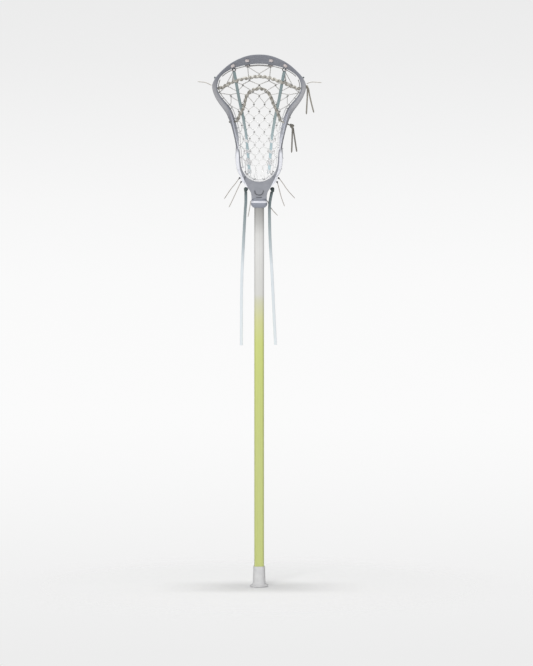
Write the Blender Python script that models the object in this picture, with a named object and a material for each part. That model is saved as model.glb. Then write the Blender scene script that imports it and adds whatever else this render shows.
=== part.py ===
"""A women's lacrosse stick: a moulded nylon head with its strung pocket, on a hollow
octagonal shaft with a rubber butt cap.

The row frame has its origin at the centre of the butt cap's flat end. +Z runs up the
shaft to the scoop, the ball enters the head from -Y, and the pocket bulges towards +Y.
Every size and place below is in millimetres. MM turns it into metres as a mesh is made.
"""

import math
from collections import namedtuple

import bmesh
import bpy
from mathutils import Matrix, Vector

MM = 0.001
GAP = 0.35

# ---- driving dimensions ----------------------------------------------------------------
SHAFT_WIDTH, SHAFT_DEPTH = 20.0, 24.0
SHAFT_CORNER_X, SHAFT_CORNER_Y = 5.2, 5.6
SHAFT_WALL = 1.5
SHAFT_BOTTOM, SHAFT_TOP = 5.0, 821.0

CAP_TOP = 42.0

THROAT_Z = 830.0
THROAT_SLOPE = 7.6
SKIRT_THICK = 2.8
SCREW_Z = 805.0
SCREW_HOLE_RADIUS = 2.3

WEB = 3.0
BACK_RAIL = 5.6
RAIL_THICK = 4.0
SAG = 24.0
PAD_THICK = 4.0
SHEET = 1.6
SHEET_INSET = 5.2
SHEET_BOTTOM, SHEET_TOP = 838.0, 1062.0
STRING_INSET = 2.6

STRING_RADIUS = 0.8
LACE_RADIUS = 1.7
STRAP_WIDTH, STRAP_THICK = 6.0, 1.6

# The head's rail, from the middle of the throat up the right side to the middle of the
# scoop. x and z are its inner edge, width is how wide its front face is, lip and inner
# are the depths of that face's outer and inner edges, back is the depth of the string
# rail, and flare is how far out the string rail stands from the front rail.
Station = namedtuple("Station", "x z width lip inner back flare")
HEAD = [
    Station(0.0, 830.0, 6.0, -21.0, -21.0, 20.0, 0.0),
    Station(14.0, 832.6, 6.0, -21.0, -21.0, 20.0, 0.3),
    Station(24.5, 839.5, 5.0, -21.0, -21.0, 20.3, 3.0),
    Station(31.6, 849.5, 9.4, -21.0, -21.0, 20.8, 5.6),
    Station(36.6, 863.0, 10.0, -20.8, -20.8, 21.3, 5.0),
    Station(38.3, 879.0, 9.6, -20.3, -20.3, 21.7, 4.6),
    Station(39.4, 893.0, 7.6, -19.9, -19.8, 21.7, 3.4),
    Station(42.8, 908.0, 5.2, -19.3, -19.2, 21.4, -1.8),
    Station(46.6, 926.0, 5.2, -18.5, -18.3, 20.7, -4.6),
    Station(50.4, 946.0, 6.6, -17.5, -17.1, 19.6, -4.2),
    Station(54.6, 966.0, 9.6, -16.5, -16.0, 18.2, -2.4),
    Station(59.8, 980.0, 11.6, -15.8, -15.2, 17.2, -1.2),
    Station(68.6, 991.2, 11.2, -15.3, -14.6, 16.2, -0.5),
    Station(78.2, 1003.6, 10.4, -15.0, -14.1, 15.0, 0.0),
    Station(84.2, 1015.0, 9.6, -15.0, -13.8, 14.2, 0.0),
    Station(85.3, 1026.0, 10.6, -15.2, -13.5, 13.3, 0.0),
    Station(82.0, 1038.4, 8.2, -15.8, -12.5, 12.3, 0.0),
    Station(76.6, 1046.2, 7.2, -16.3, -11.5, 11.6, 0.0),
    Station(68.0, 1053.3, 8.2, -16.9, -10.2, 11.0, 0.0),
    Station(56.0, 1059.6, 11.6, -17.9, -8.0, 10.2, 0.0),
    Station(40.0, 1064.8, 15.6, -19.0, -5.6, 9.4, 0.0),
    Station(20.0, 1068.8, 19.0, -19.8, -3.8, 8.6, 0.0),
    Station(0.0, 1070.4, 19.6, -20.0, -3.2, 8.2, 0.0),
]
HEAD_STEPS = 2

MATERIALS = {
    # name: (colour, roughness, metallic)
    "shaft_paint": ((0.60, 0.68, 0.25), 0.32, 0.0),
    "head_nylon": ((0.30, 0.31, 0.36), 0.45, 0.0),
    "cap_rubber": ((0.63, 0.62, 0.63), 0.60, 0.0),
    "screw_steel": ((0.55, 0.55, 0.56), 0.30, 1.0),
    "white_foam": ((0.85, 0.85, 0.86), 0.80, 0.0),
    "mesh_cord": ((0.80, 0.79, 0.75), 0.75, 0.0),
    "strap_nylon": ((0.36, 0.45, 0.46), 0.65, 0.0),
    "khaki_lace": ((0.40, 0.38, 0.32), 0.75, 0.0),
    "thin_string": ((0.66, 0.64, 0.59), 0.75, 0.0),
}


# ---- helpers ---------------------------------------------------------------------------
def clear_scene():
    for obj in list(bpy.data.objects):
        bpy.data.objects.remove(obj)


def material(name):
    """The Principled material of that name, made the first time it is asked for."""
    made = bpy.data.materials.get(name)
    if made is None:
        colour, roughness, metallic = MATERIALS[name]
        made = bpy.data.materials.new(name)
        made.use_nodes = True
        shader = made.node_tree.nodes["Principled BSDF"]
        shader.inputs["Base Color"].default_value = (*colour, 1.0)
        shader.inputs["Roughness"].default_value = roughness
        shader.inputs["Metallic"].default_value = metallic
    return made


def smooth(points, steps, closed_ends=False):
    """A Catmull-Rom curve through points of any length, steps pieces between each two.

    With closed_ends the first and last points mirror their neighbours in x, so that a
    half outline meets its own mirror image without a corner.
    """
    points = [tuple(p) for p in points]
    if closed_ends:
        before = (-points[1][0], *points[1][1:])
        after = (-points[-2][0], *points[-2][1:])
    else:
        before = tuple(2 * a - b for a, b in zip(points[0], points[1]))
        after = tuple(2 * a - b for a, b in zip(points[-1], points[-2]))
    row = [before, *points, after]
    made = []
    for i in range(1, len(row) - 2):
        a, b, c, d = row[i - 1 : i + 3]
        for k in range(steps):
            t = k / steps
            made.append(
                tuple(
                    0.5
                    * (
                        2 * q
                        + (r - p) * t
                        + (2 * p - 5 * q + 4 * r - s) * t * t
                        + (3 * q - p - 3 * r + s) * t**3
                    )
                    for p, q, r, s in zip(a, b, c, d)
                )
            )
    made.append(points[-1])
    return made


def add_mesh(name, points, faces, finish, origin=(0, 0, 0)):
    """A mesh object from points in millimetres, with its own origin."""
    mesh = bpy.data.meshes.new(name)
    base = Vector(origin)
    mesh.from_pydata([(Vector(p) - base) * MM for p in points], [], faces)
    work = bmesh.new()
    work.from_mesh(mesh)
    bmesh.ops.recalc_face_normals(work, faces=work.faces)
    work.to_mesh(mesh)
    work.free()
    mesh.shade_smooth()
    mesh.set_sharp_from_angle(angle=math.radians(35))
    obj = bpy.data.objects.new(name, mesh)
    obj.location = base * MM
    bpy.context.scene.collection.objects.link(obj)
    obj.data.materials.append(material(finish))
    return obj


def loft(name, loops, finish, closed=False, origin=(0, 0, 0)):
    """Joins loops of equal length into a skin, with a cap at each end unless closed."""
    count = len(loops[0])
    points = [p for loop in loops for p in loop]
    faces = []
    rows = len(loops) if closed else len(loops) - 1
    for i in range(rows):
        a, b = i * count, ((i + 1) % len(loops)) * count
        for k in range(count):
            n = (k + 1) % count
            faces.append((a + k, a + n, b + n, b + k))
    if not closed:
        faces.append(tuple(range(count)))
        faces.append(tuple(range(len(points) - count, len(points))))
    return add_mesh(name, points, faces, finish, origin)


def boolean(target, cutter, operation):
    """Applies a Boolean with the EXACT solver, then removes the other object."""
    step = target.modifiers.new(operation.lower(), "BOOLEAN")
    step.operation = operation
    step.solver = "EXACT"
    step.object = cutter
    graph = bpy.context.evaluated_depsgraph_get()
    mesh = bpy.data.meshes.new_from_object(target.evaluated_get(graph))
    target.modifiers.clear()
    target.data = mesh
    bpy.data.objects.remove(cutter)
    return target


def cut(target, cutter):
    return boolean(target, cutter, "DIFFERENCE")


def join(target, other):
    return boolean(target, other, "UNION")


def octagon(half_x, half_y, corner_x, corner_y, z, steps=1):
    """An octagonal loop with flats facing X and Y. More steps round its corners."""
    loop = []
    for sx, sy in ((1, 1), (-1, 1), (-1, -1), (1, -1)):
        start = (sx * half_x, sy * (half_y - corner_y))
        middle = (sx * half_x, sy * half_y)
        end = (sx * (half_x - corner_x), sy * half_y)
        if sx * sy < 0:
            start, end = end, start
        for k in range(steps + 1):
            t = k / steps
            bulge = 2 * t * (1 - t) if steps > 1 else 0.0
            flat = 1 - t - bulge / 2, bulge, t - bulge / 2
            loop.append(
                (
                    flat[0] * start[0] + flat[1] * middle[0] + flat[2] * end[0],
                    flat[0] * start[1] + flat[1] * middle[1] + flat[2] * end[1],
                    z,
                )
            )
    return loop


def box(name, centre, size, turn=None):
    """A box cutter in millimetres, turned about its centre."""
    half = Vector(size) / 2
    turn = turn or Matrix.Identity(3)
    corners = [
        turn @ Vector((sx * half.x, sy * half.y, sz * half.z)) + Vector(centre)
        for sx in (-1, 1)
        for sy in (-1, 1)
        for sz in (-1, 1)
    ]
    faces = [
        (0, 1, 3, 2), (4, 6, 7, 5), (0, 4, 5, 1),
        (2, 3, 7, 6), (0, 2, 6, 4), (1, 5, 7, 3),
    ]
    return add_mesh(name, corners, faces, "head_nylon")


def rod(name, centre, axis, radius, length, sides=8):
    """A round cutter in millimetres, centred at a point and lying along an axis."""
    turn = Vector(axis).to_track_quat("Z", "Y").to_matrix()
    loops = []
    for end in (-0.5, 0.5):
        loops.append(
            [
                tuple(
                    turn
                    @ Vector(
                        (
                            radius * math.cos(2 * math.pi * k / sides),
                            radius * math.sin(2 * math.pi * k / sides),
                            end * length,
                        )
                    )
                    + Vector(centre)
                )
                for k in range(sides)
            ]
        )
    return loft(name, loops, "head_nylon")


def string(name, points, radius, finish, spacing=2.4):
    """A round cord: a bevelled curve with filled caps along a smooth route. Its sections
    are about spacing diameters apart."""
    fine = [Vector(p) for p in smooth(points, 12)]
    reach = [0.0]
    for a, b in zip(fine, fine[1:]):
        reach.append(reach[-1] + (b - a).length)
    count = max(4, round(reach[-1] / (2 * radius * spacing)) + 1)
    line, j = [], 0
    for i in range(count):
        want = reach[-1] * i / (count - 1)
        while j < len(reach) - 2 and reach[j + 1] < want:
            j += 1
        share = (want - reach[j]) / max(reach[j + 1] - reach[j], 1e-9)
        line.append(fine[j].lerp(fine[j + 1], share))
    curve = bpy.data.curves.new(name, "CURVE")
    curve.dimensions = "3D"
    curve.bevel_depth = radius * MM
    curve.bevel_resolution = 2
    curve.use_fill_caps = True
    spline = curve.splines.new("POLY")
    spline.points.add(len(line) - 1)
    for point, place in zip(spline.points, line):
        point.co = (*(place * MM), 1.0)
    obj = bpy.data.objects.new(name, curve)
    bpy.context.scene.collection.objects.link(obj)
    curve.materials.append(material(finish))
    return obj


def strap(name, route, steps):
    """A flat strap. Each row of its route is x, y, z and the turn of its flat side in
    degrees: 0 faces the flat side to -Y, and 90 shows the thin edge there."""
    loops = []
    rows = smooth(route, steps)
    for i, (x, y, z, turn) in enumerate(rows):
        before, after = rows[max(i - 1, 0)], rows[min(i + 1, len(rows) - 1)]
        along = (Vector(after[:3]) - Vector(before[:3])).normalized()
        angle = math.radians(turn)
        across = Vector((math.cos(angle), math.sin(angle), 0.0))
        across = (across - along * across.dot(along)).normalized()
        up = along.cross(across)
        a, b = STRAP_WIDTH / 2, STRAP_THICK / 2
        corner = b * 0.6
        shape = [
            (a, b - corner), (a - corner, b), (corner - a, b), (-a, b - corner),
            (-a, corner - b), (corner - a, -b), (a - corner, -b), (a, corner - b),
        ]
        centre = Vector((x, y, z))
        loops.append([tuple(centre + across * u + up * v) for u, v in shape])
    return loft(name, loops, "strap_nylon")


def knot(name, centre, size, finish, tilt=0.0):
    """A pulled knot as a plain lump: a ball squashed to the knot's outer size."""
    work = bmesh.new()
    bmesh.ops.create_icosphere(work, subdivisions=2, radius=0.5 * MM)
    bmesh.ops.scale(work, vec=Vector(size), verts=work.verts)
    turn = Matrix.Rotation(math.radians(tilt), 3, "Y")
    bmesh.ops.rotate(work, cent=(0, 0, 0), matrix=turn, verts=work.verts)
    mesh = bpy.data.meshes.new(name)
    work.to_mesh(mesh)
    work.free()
    mesh.shade_smooth()
    obj = bpy.data.objects.new(name, mesh)
    obj.location = Vector(centre) * MM
    bpy.context.scene.collection.objects.link(obj)
    mesh.materials.append(material(finish))
    return obj


# ---- the head's shape as functions -----------------------------------------------------
RAIL = [Station(*p) for p in smooth(HEAD, HEAD_STEPS, closed_ends=True)]
FINE_RAIL = [Station(*p) for p in smooth(HEAD, 12, closed_ends=True)]


def station_at(z):
    """The rail's values at a height on its right side."""
    for low, high in zip(FINE_RAIL, FINE_RAIL[1:]):
        if high.z >= z:
            t = max(0.0, (z - low.z) / (high.z - low.z))
            return Station(*(a + (b - a) * t for a, b in zip(low, high)))
    return FINE_RAIL[-1]


def pocket_share(z):
    """How far up the pocket a height is, 0 at the throat and 1 at the scoop."""
    return min(1.0, max(0.0, (z - THROAT_Z) / (HEAD[-1].z - THROAT_Z)))


def pocket_depth(x, z):
    """The depth of the pocket's surface: it hangs between the string rails."""
    here = station_at(z)
    edge = max(here.x + here.flare, 1.0)
    sag = SAG * math.sin(math.pi * pocket_share(z) ** 0.62) ** 0.85
    across = min(1.0, abs(x) / edge)
    return here.back - 4.0 + sag * (1.0 - across**2.2)


def mirrored(points, side):
    """Points that are written for the right side, on the side asked for."""
    return [(side * p[0], *p[1:]) for p in points]


# ---- head frame ------------------------------------------------------------------------
def rail_section(here):
    """One section of the rail: (out from the inner edge, depth) corners.

    The front face runs from the inner edge to the lip. Behind it a web carries the
    string rail, whose flange points outwards.
    """
    chamfer = 0.9
    w, f = here.width, here.flare
    web = WEB + (f if f > 0 else 0.6 * f)
    return [
        (0.0, here.inner + chamfer),
        (chamfer, here.inner),
        (w - chamfer, here.lip),
        (w, here.lip + chamfer),
        (w, here.lip + RAIL_THICK - 0.6),
        (max(w - 1.5, WEB + 0.1), here.lip + RAIL_THICK + 0.4),
        (WEB + 0.3 + 0.2 * max(f, 0.0), min(max(here.lip, here.inner) + 7.2, here.back - 7.8)),
        (web, here.back - 7.0),
        (BACK_RAIL + f, here.back - 5.2),
        (BACK_RAIL + f, here.back - chamfer),
        (BACK_RAIL + f - chamfer, here.back),
        (f + chamfer, here.back),
        (f, here.back - chamfer),
        (0.35 * f, max(here.back - 14.0, here.inner + 2.2)),
    ]


def outward(rail, i):
    """The direction out of the head's opening at one of the rail's stations."""
    before, after = rail[max(i - 1, 0)], rail[min(i + 1, len(rail) - 1)]
    dx, dz = after.x - before.x, after.z - before.z
    if i in (0, len(rail) - 1):
        dz = 0.0
    size = math.hypot(dx, dz)
    return dz / size, -dx / size


def rail_loop():
    """The sections all the way round the head's opening."""
    right = []
    for i, here in enumerate(RAIL):
        ox, oz = outward(RAIL, i)
        right.append(
            [(here.x + ox * n, depth, here.z + oz * n) for n, depth in rail_section(here)]
        )
    left = [[(-x, y, z) for x, y, z in loop] for loop in right[-2:0:-1]]
    return right + left


def rail_place(z):
    """The point of the rail's inner edge at a height on the right, and the way out."""
    i = min(range(len(FINE_RAIL)), key=lambda k: abs(FINE_RAIL[k].z - z))
    return (FINE_RAIL[i].x, FINE_RAIL[i].z), outward(FINE_RAIL, i)


def inset_edge(inset):
    """A line inside both rails, as (x, z, back) from throat to scoop."""
    made = []
    for i, here in enumerate(FINE_RAIL):
        ox, oz = outward(FINE_RAIL, i)
        reach = inset - min(0.0, here.flare)
        made.append((here.x - ox * reach, here.z - oz * reach, here.back))
    return made


def extrude(name, outline, front, back):
    """A prism: an outline of (x, z) points carried from one depth to another."""
    count = len(outline)
    points = [(x, front, z) for x, z in outline] + [(x, back, z) for x, z in outline]
    faces = [tuple(range(count)), tuple(range(count, 2 * count))]
    for k in range(count):
        n = (k + 1) % count
        faces.append((k, n, count + n, count + k))
    return add_mesh(name, points, faces, "head_nylon")


def throat_outline():
    """The face plate's outer edge on the right, from the rail down to the collar."""
    return smooth(
        [
            (33.6, 848.0), (36.6, 842.0), (36.4, 836.0), (33.4, 830.0), (28.0, 823.6),
            (22.4, 816.8), (18.0, 811.0), (16.0, 804.0), (15.4, 795.0),
        ],
        2,
    )


def throat_plate():
    """The plate across the front of the throat."""
    right = throat_outline()
    left = [(-x, z) for x, z in reversed(right)]
    top = []
    for i, here in enumerate(RAIL):
        if here.z < 848.0:
            ox, oz = outward(RAIL, i)
            top.append((here.x + ox * 2.0, here.z + oz * 2.0))
    across = [(-x, z) for x, z in reversed(top)] + top[1:]
    return extrude("throat_plate", right + left + across, -20.6, -15.0)


def throat_skirt(side):
    """The wall behind the plate's outer edge on one side."""
    outer = throat_outline()
    inner = []
    for i, (x, z) in enumerate(outer):
        before, after = outer[max(i - 1, 0)], outer[min(i + 1, len(outer) - 1)]
        dx, dz = after[0] - before[0], after[1] - before[1]
        size = math.hypot(dx, dz)
        inner.append((x + dz / size * SKIRT_THICK, z - dx / size * SKIRT_THICK))
    band = [(side * x, z) for x, z in outer + inner[::-1]]
    return extrude("throat_skirt", band, -20.1, 16.2)


def socket():
    """The octagonal collar that the shaft slides into."""
    profile = [
        # height, half width, half depth
        (777.6, 12.3, 14.6),
        (781.5, 15.6, 17.9),
        (785.4, 16.8, 19.0),
        (786.2, 16.2, 18.4),
        (787.6, 16.6, 18.8),
        (790.6, 16.4, 18.6),
        (793.6, 14.9, 17.1),
        (801.0, 14.9, 17.1),
        (812.0, 16.2, 17.6),
        (828.4, 17.5, 18.0),
    ]
    loops = [octagon(hx, hy, hx * 0.42, hy * 0.38, z, 2) for z, hx, hy in profile]
    return loft("socket", loops, "head_nylon")


def side_port(side, z, depth, length, height, reach):
    """A rounded slot cutter through a sidewall, lying along the rail."""
    (x, mid), (ox, oz) = rail_place(z)
    tangent = Vector((-oz, 0.0, ox))
    loops = []
    for n in (-8.0, reach):
        ring = []
        for k in range(12):
            angle = 2 * math.pi * k / 12
            c, s = math.cos(angle), math.sin(angle)
            along = (length - height) / 2 * (1 if c > 0.01 else -1) + height / 2 * c
            if length <= height:
                along = length / 2 * c
            at = Vector((x + ox * n, depth + height / 2 * s, mid + oz * n)) + tangent * along
            ring.append((side * at.x, at.y, at.z))
        loops.append(ring)
    return loft("cutter", loops, "head_nylon")


# Sidewall windows on each side: height up the stick, depth, length, height in depth.
WINDOWS = [
    (876.0, 1.0, 30.0, 15.0),
    (914.0, 0.8, 32.0, 14.0),
    (951.0, 1.6, 28.0, 12.0),
    (990.0, 1.2, 26.0, 9.0),
    (1026.0, 1.0, 20.0, 7.0),
]
# How high up the stick each hole along the string rails is.
STRING_HOLES = [858.0, 878.0, 898.0, 918.0, 938.0, 958.0, 978.0, 998.0, 1020.0, 1040.0]
# Slots through the scoop for the runners and the top string: x, z, turn in degrees.
SCOOP_SLOTS = [(24.3, 1077.2, 5.0), (53.4, 1066.6, 31.0)]
# Holes through the throat for the bottom string: x, z.
THROAT_HOLES = [(-20.0, 834.0), (-7.0, 829.0), (7.0, 829.0), (20.0, 834.0)]


def head_frame():
    throat = throat_plate()
    for side in (1, -1):
        join(throat, throat_skirt(side))
    join(throat, socket())
    frame = loft("head_frame", rail_loop(), "head_nylon", closed=True)
    join(frame, throat)

    lean = Matrix.Rotation(math.radians(-THROAT_SLOPE), 3, "X")
    cut(frame, box("slope", (0, -28.9, 811.0), (60.0, 20.0, 60.0), lean))
    bore = [
        octagon(
            SHAFT_WIDTH / 2 + GAP, SHAFT_DEPTH / 2 + GAP, SHAFT_CORNER_X, SHAFT_CORNER_Y, z
        )
        for z in (770.0, SHAFT_TOP + 0.6)
    ]
    cut(frame, loft("bore", bore, "head_nylon"))
    cut(frame, rod("screw_hole", (0, 16.0, SCREW_Z), (0, 1, 0), SCREW_HOLE_RADIUS, 12.0, 12))

    for side in (1, -1):
        for z, depth, length, height in WINDOWS:
            cut(frame, side_port(side, z, depth, length, height, 12.0))
        for z in STRING_HOLES:
            back = station_at(z).back
            cut(frame, side_port(side, z, back - 2.7, 4.2, 2.8, 15.0))
        for x, z, turn in SCOOP_SLOTS:
            roll = Matrix.Rotation(math.radians(side * turn), 3, "Y")
            cut(frame, box("slot", (side * x, -6.0, z), (8.2, 40.0, 3.8), roll))
    for x, z in THROAT_HOLES:
        cut(frame, rod("throat_hole", (x, 17.2, z), (0, 0, 1), 1.7, 16.0))
    return frame


# ---- other rigid pieces ----------------------------------------------------------------
def shaft():
    """The hollow shaft with a clearance hole for the head's screw."""
    outer = [
        octagon(SHAFT_WIDTH / 2, SHAFT_DEPTH / 2, SHAFT_CORNER_X, SHAFT_CORNER_Y, z)
        for z in (SHAFT_BOTTOM, SHAFT_TOP)
    ]
    tube = loft("shaft", outer, "shaft_paint")
    inner = [
        octagon(
            SHAFT_WIDTH / 2 - SHAFT_WALL,
            SHAFT_DEPTH / 2 - SHAFT_WALL,
            SHAFT_CORNER_X - 0.6,
            SHAFT_CORNER_Y - 0.6,
            z,
        )
        for z in (SHAFT_BOTTOM - 2, SHAFT_TOP + 2)
    ]
    cut(tube, loft("tube_bore", inner, "shaft_paint"))
    cut(tube, rod("tap", (0, 12.0, SCREW_Z), (0, 1, 0), SCREW_HOLE_RADIUS, 8.0, 12))
    return tube


def rounded(half_x, half_y, power, z, count=24):
    """A loop between an ellipse (power 2) and a rectangle (a high power)."""
    loop = []
    for k in range(count):
        angle = 2 * math.pi * (k + 0.5) / count
        c, s = math.cos(angle), math.sin(angle)
        size = (abs(c) ** power + abs(s) ** power) ** (-1 / power)
        loop.append((half_x * c * size, half_y * s * size, z))
    return loop


def butt_cap():
    """The rubber cap: a sleeve over the shaft's end, flaring into a round flange."""
    profile = [
        # height, half width, half depth, squareness
        (0.0, 17.7, 17.7, 2.0),
        (0.8, 18.7, 18.7, 2.0),
        (2.4, 18.7, 18.7, 2.0),
        (3.2, 18.0, 18.0, 2.0),
        (4.2, 16.0, 16.6, 2.1),
        (6.0, 14.2, 15.6, 2.4),
        (9.0, 13.2, 15.0, 2.7),
        (14.0, 12.9, 14.8, 2.9),
        (30.0, 12.3, 14.2, 3.0),
        (40.8, 12.0, 13.9, 3.0),
        (42.0, 11.4, 13.3, 3.0),
    ]
    cap = loft("butt_cap", [rounded(*p[1:], p[0]) for p in profile], "cap_rubber")
    bore = [
        octagon(
            SHAFT_WIDTH / 2 + GAP, SHAFT_DEPTH / 2 + GAP, SHAFT_CORNER_X, SHAFT_CORNER_Y, z
        )
        for z in (SHAFT_BOTTOM - GAP, CAP_TOP + 2)
    ]
    return cut(cap, loft("cap_bore", bore, "cap_rubber"))


def head_screw():
    """The screw through the back of the collar, with a cross recess in its head."""
    seat = 17.2 + GAP
    profile = [
        # distance out from the shaft's middle, radius
        (seat - 10.4, 0.9), (seat - 8.6, 1.9), (seat, 1.9), (seat, 3.8),
        (seat + 1.2, 3.8), (seat + 2.2, 2.9), (seat + 2.6, 1.6),
    ]
    loops = []
    for y, radius in profile:
        loops.append(
            [
                (
                    radius * math.cos(2 * math.pi * k / 16),
                    y,
                    SCREW_Z + radius * math.sin(2 * math.pi * k / 16),
                )
                for k in range(16)
            ]
        )
    screw = loft("head_screw", loops, "screw_steel", origin=(0, seat, SCREW_Z))
    for size in ((3.6, 3.0, 0.7), (0.7, 3.0, 3.6)):
        cutter = box("recess", (0, seat + 2.9, SCREW_Z), size)
        for vertex in cutter.data.vertices:
            vertex.co -= screw.location
        cutter.location = screw.location
        cut(screw, cutter)
    return screw


def ball_stop_pad():
    """The foam pad that lines the throat's curve."""
    inside = GAP + PAD_THICK
    loops = []
    for i, here in enumerate(RAIL):
        if here.z < 852.0:
            ox, oz = outward(RAIL, i)
            loops.append(
                [
                    (here.x - ox * n, y, here.z - oz * n)
                    for n, y in (
                        (GAP, -17.0), (inside - 1.0, -17.0), (inside, -15.8),
                        (inside, 8.8), (inside - 1.0, 10.0), (GAP, 10.0),
                    )
                ]
            )
    left = [[(-x, y, z) for x, y, z in loop] for loop in loops[:0:-1]]
    return loft("ball_stop_pad", left + loops, "white_foam")


# ---- stringing -------------------------------------------------------------------------
def pocket_mesh():
    """The pocket's net as one thin skin hanging inside the frame."""
    edge = [(x, z) for x, z, _ in inset_edge(SHEET_INSET)]
    columns, rows = 14, 26
    middle = []
    for j in range(rows + 1):
        z = SHEET_BOTTOM + (SHEET_TOP - SHEET_BOTTOM) * j / rows
        half = edge[-1][0]
        for (x0, z0), (x1, z1) in zip(edge, edge[1:]):
            if z0 <= z <= z1:
                half = x0 + (x1 - x0) * (z - z0) / (z1 - z0)
                break
        for i in range(columns + 1):
            x = half * (2 * i / columns - 1)
            middle.append(Vector((x, pocket_depth(x, z), z)))
    wide = columns + 1
    normals = []
    for j in range(rows + 1):
        for i in range(wide):
            a = middle[j * wide + max(i - 1, 0)]
            b = middle[j * wide + min(i + 1, columns)]
            c = middle[max(j - 1, 0) * wide + i]
            d = middle[min(j + 1, rows) * wide + i]
            normals.append((b - a).cross(d - c).normalized())
    front = [p + n * SHEET / 2 for p, n in zip(middle, normals)]
    back = [p - n * SHEET / 2 for p, n in zip(middle, normals)]
    count = len(middle)
    faces = []
    for j in range(rows):
        for i in range(columns):
            a = j * wide + i
            faces.append((a, a + 1, a + wide + 1, a + wide))
            faces.append((count + a, count + a + wide, count + a + wide + 1, count + a + 1))
    rim = list(range(wide))
    rim += [j * wide + columns for j in range(1, rows + 1)]
    rim += [rows * wide + i for i in range(columns - 1, -1, -1)]
    rim += [j * wide for j in range(rows - 1, 0, -1)]
    for a, b in zip(rim, rim[1:] + rim[:1]):
        faces.append((a, b, count + b, count + a))
    return add_mesh("pocket_mesh", front + back, faces, "mesh_cord")


def edge_points(low, high):
    """The route of a string just inside the right rail, between two heights."""
    return [
        (x, back - 4.0, z)
        for x, z, back in inset_edge(STRING_INSET)[::6]
        if low <= z <= high
    ]


def edge_string(name, points):
    return string(name, points, STRING_RADIUS, "thin_string", 4.5)


def front_of_pocket(x, z, gap):
    """The depth at which something lies in front of the pocket's skin."""
    step = 1.0
    slope = (pocket_depth(x + step, z) - pocket_depth(x - step, z)) / (2 * step)
    return pocket_depth(x, z) - (SHEET / 2 + gap) * math.hypot(1.0, slope)


RUNNER_ROUTE = [
    # x, z on the right
    (51.4, 1055.0), (49.1, 1044.0), (45.9, 1026.0), (42.5, 1007.0), (39.0, 989.0),
    (34.6, 970.0), (30.2, 946.0), (27.0, 927.0), (25.0, 908.0), (22.9, 884.0),
    (20.8, 858.0), (19.4, 846.0),
]


def runner(name, side):
    route = []
    for x, z in RUNNER_ROUTE:
        y = front_of_pocket(x, z, GAP + STRAP_THICK / 2 + 0.25)
        slope = pocket_depth(x + 1, z) - pocket_depth(x - 1, z)
        turn = math.degrees(math.atan2(slope, 2.0))
        route.append((side * x, y, z, side * turn))
    return strap(name, route, 2)


def shooter(name, route):
    """A shooting lace in front of the runners, from a list of (x, z) points."""
    lift = GAP + STRAP_THICK + 0.9 + LACE_RADIUS
    points = [(x, front_of_pocket(x, z, lift), z) for x, z in route]
    return string(name, points, LACE_RADIUS, "khaki_lace")


STRAIGHT_SHOOTER = [
    (-77.0, 1021.0), (-66.0, 1026.0), (-53.0, 1033.0), (-37.0, 1038.4), (-19.0, 1041.6),
    (0.0, 1043.4), (19.0, 1041.0), (35.0, 1036.4), (53.0, 1030.6), (67.0, 1024.0),
    (77.5, 1020.5),
]
U_SHOOTER = [
    (-42.6, 951.0), (-37.4, 966.5), (-31.2, 982.5), (-26.0, 1003.0), (-16.6, 1013.4),
    (0.0, 1019.6), (14.0, 1014.6), (22.2, 1005.2), (28.4, 988.8), (36.5, 972.4),
    (43.0, 953.0),
]


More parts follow.
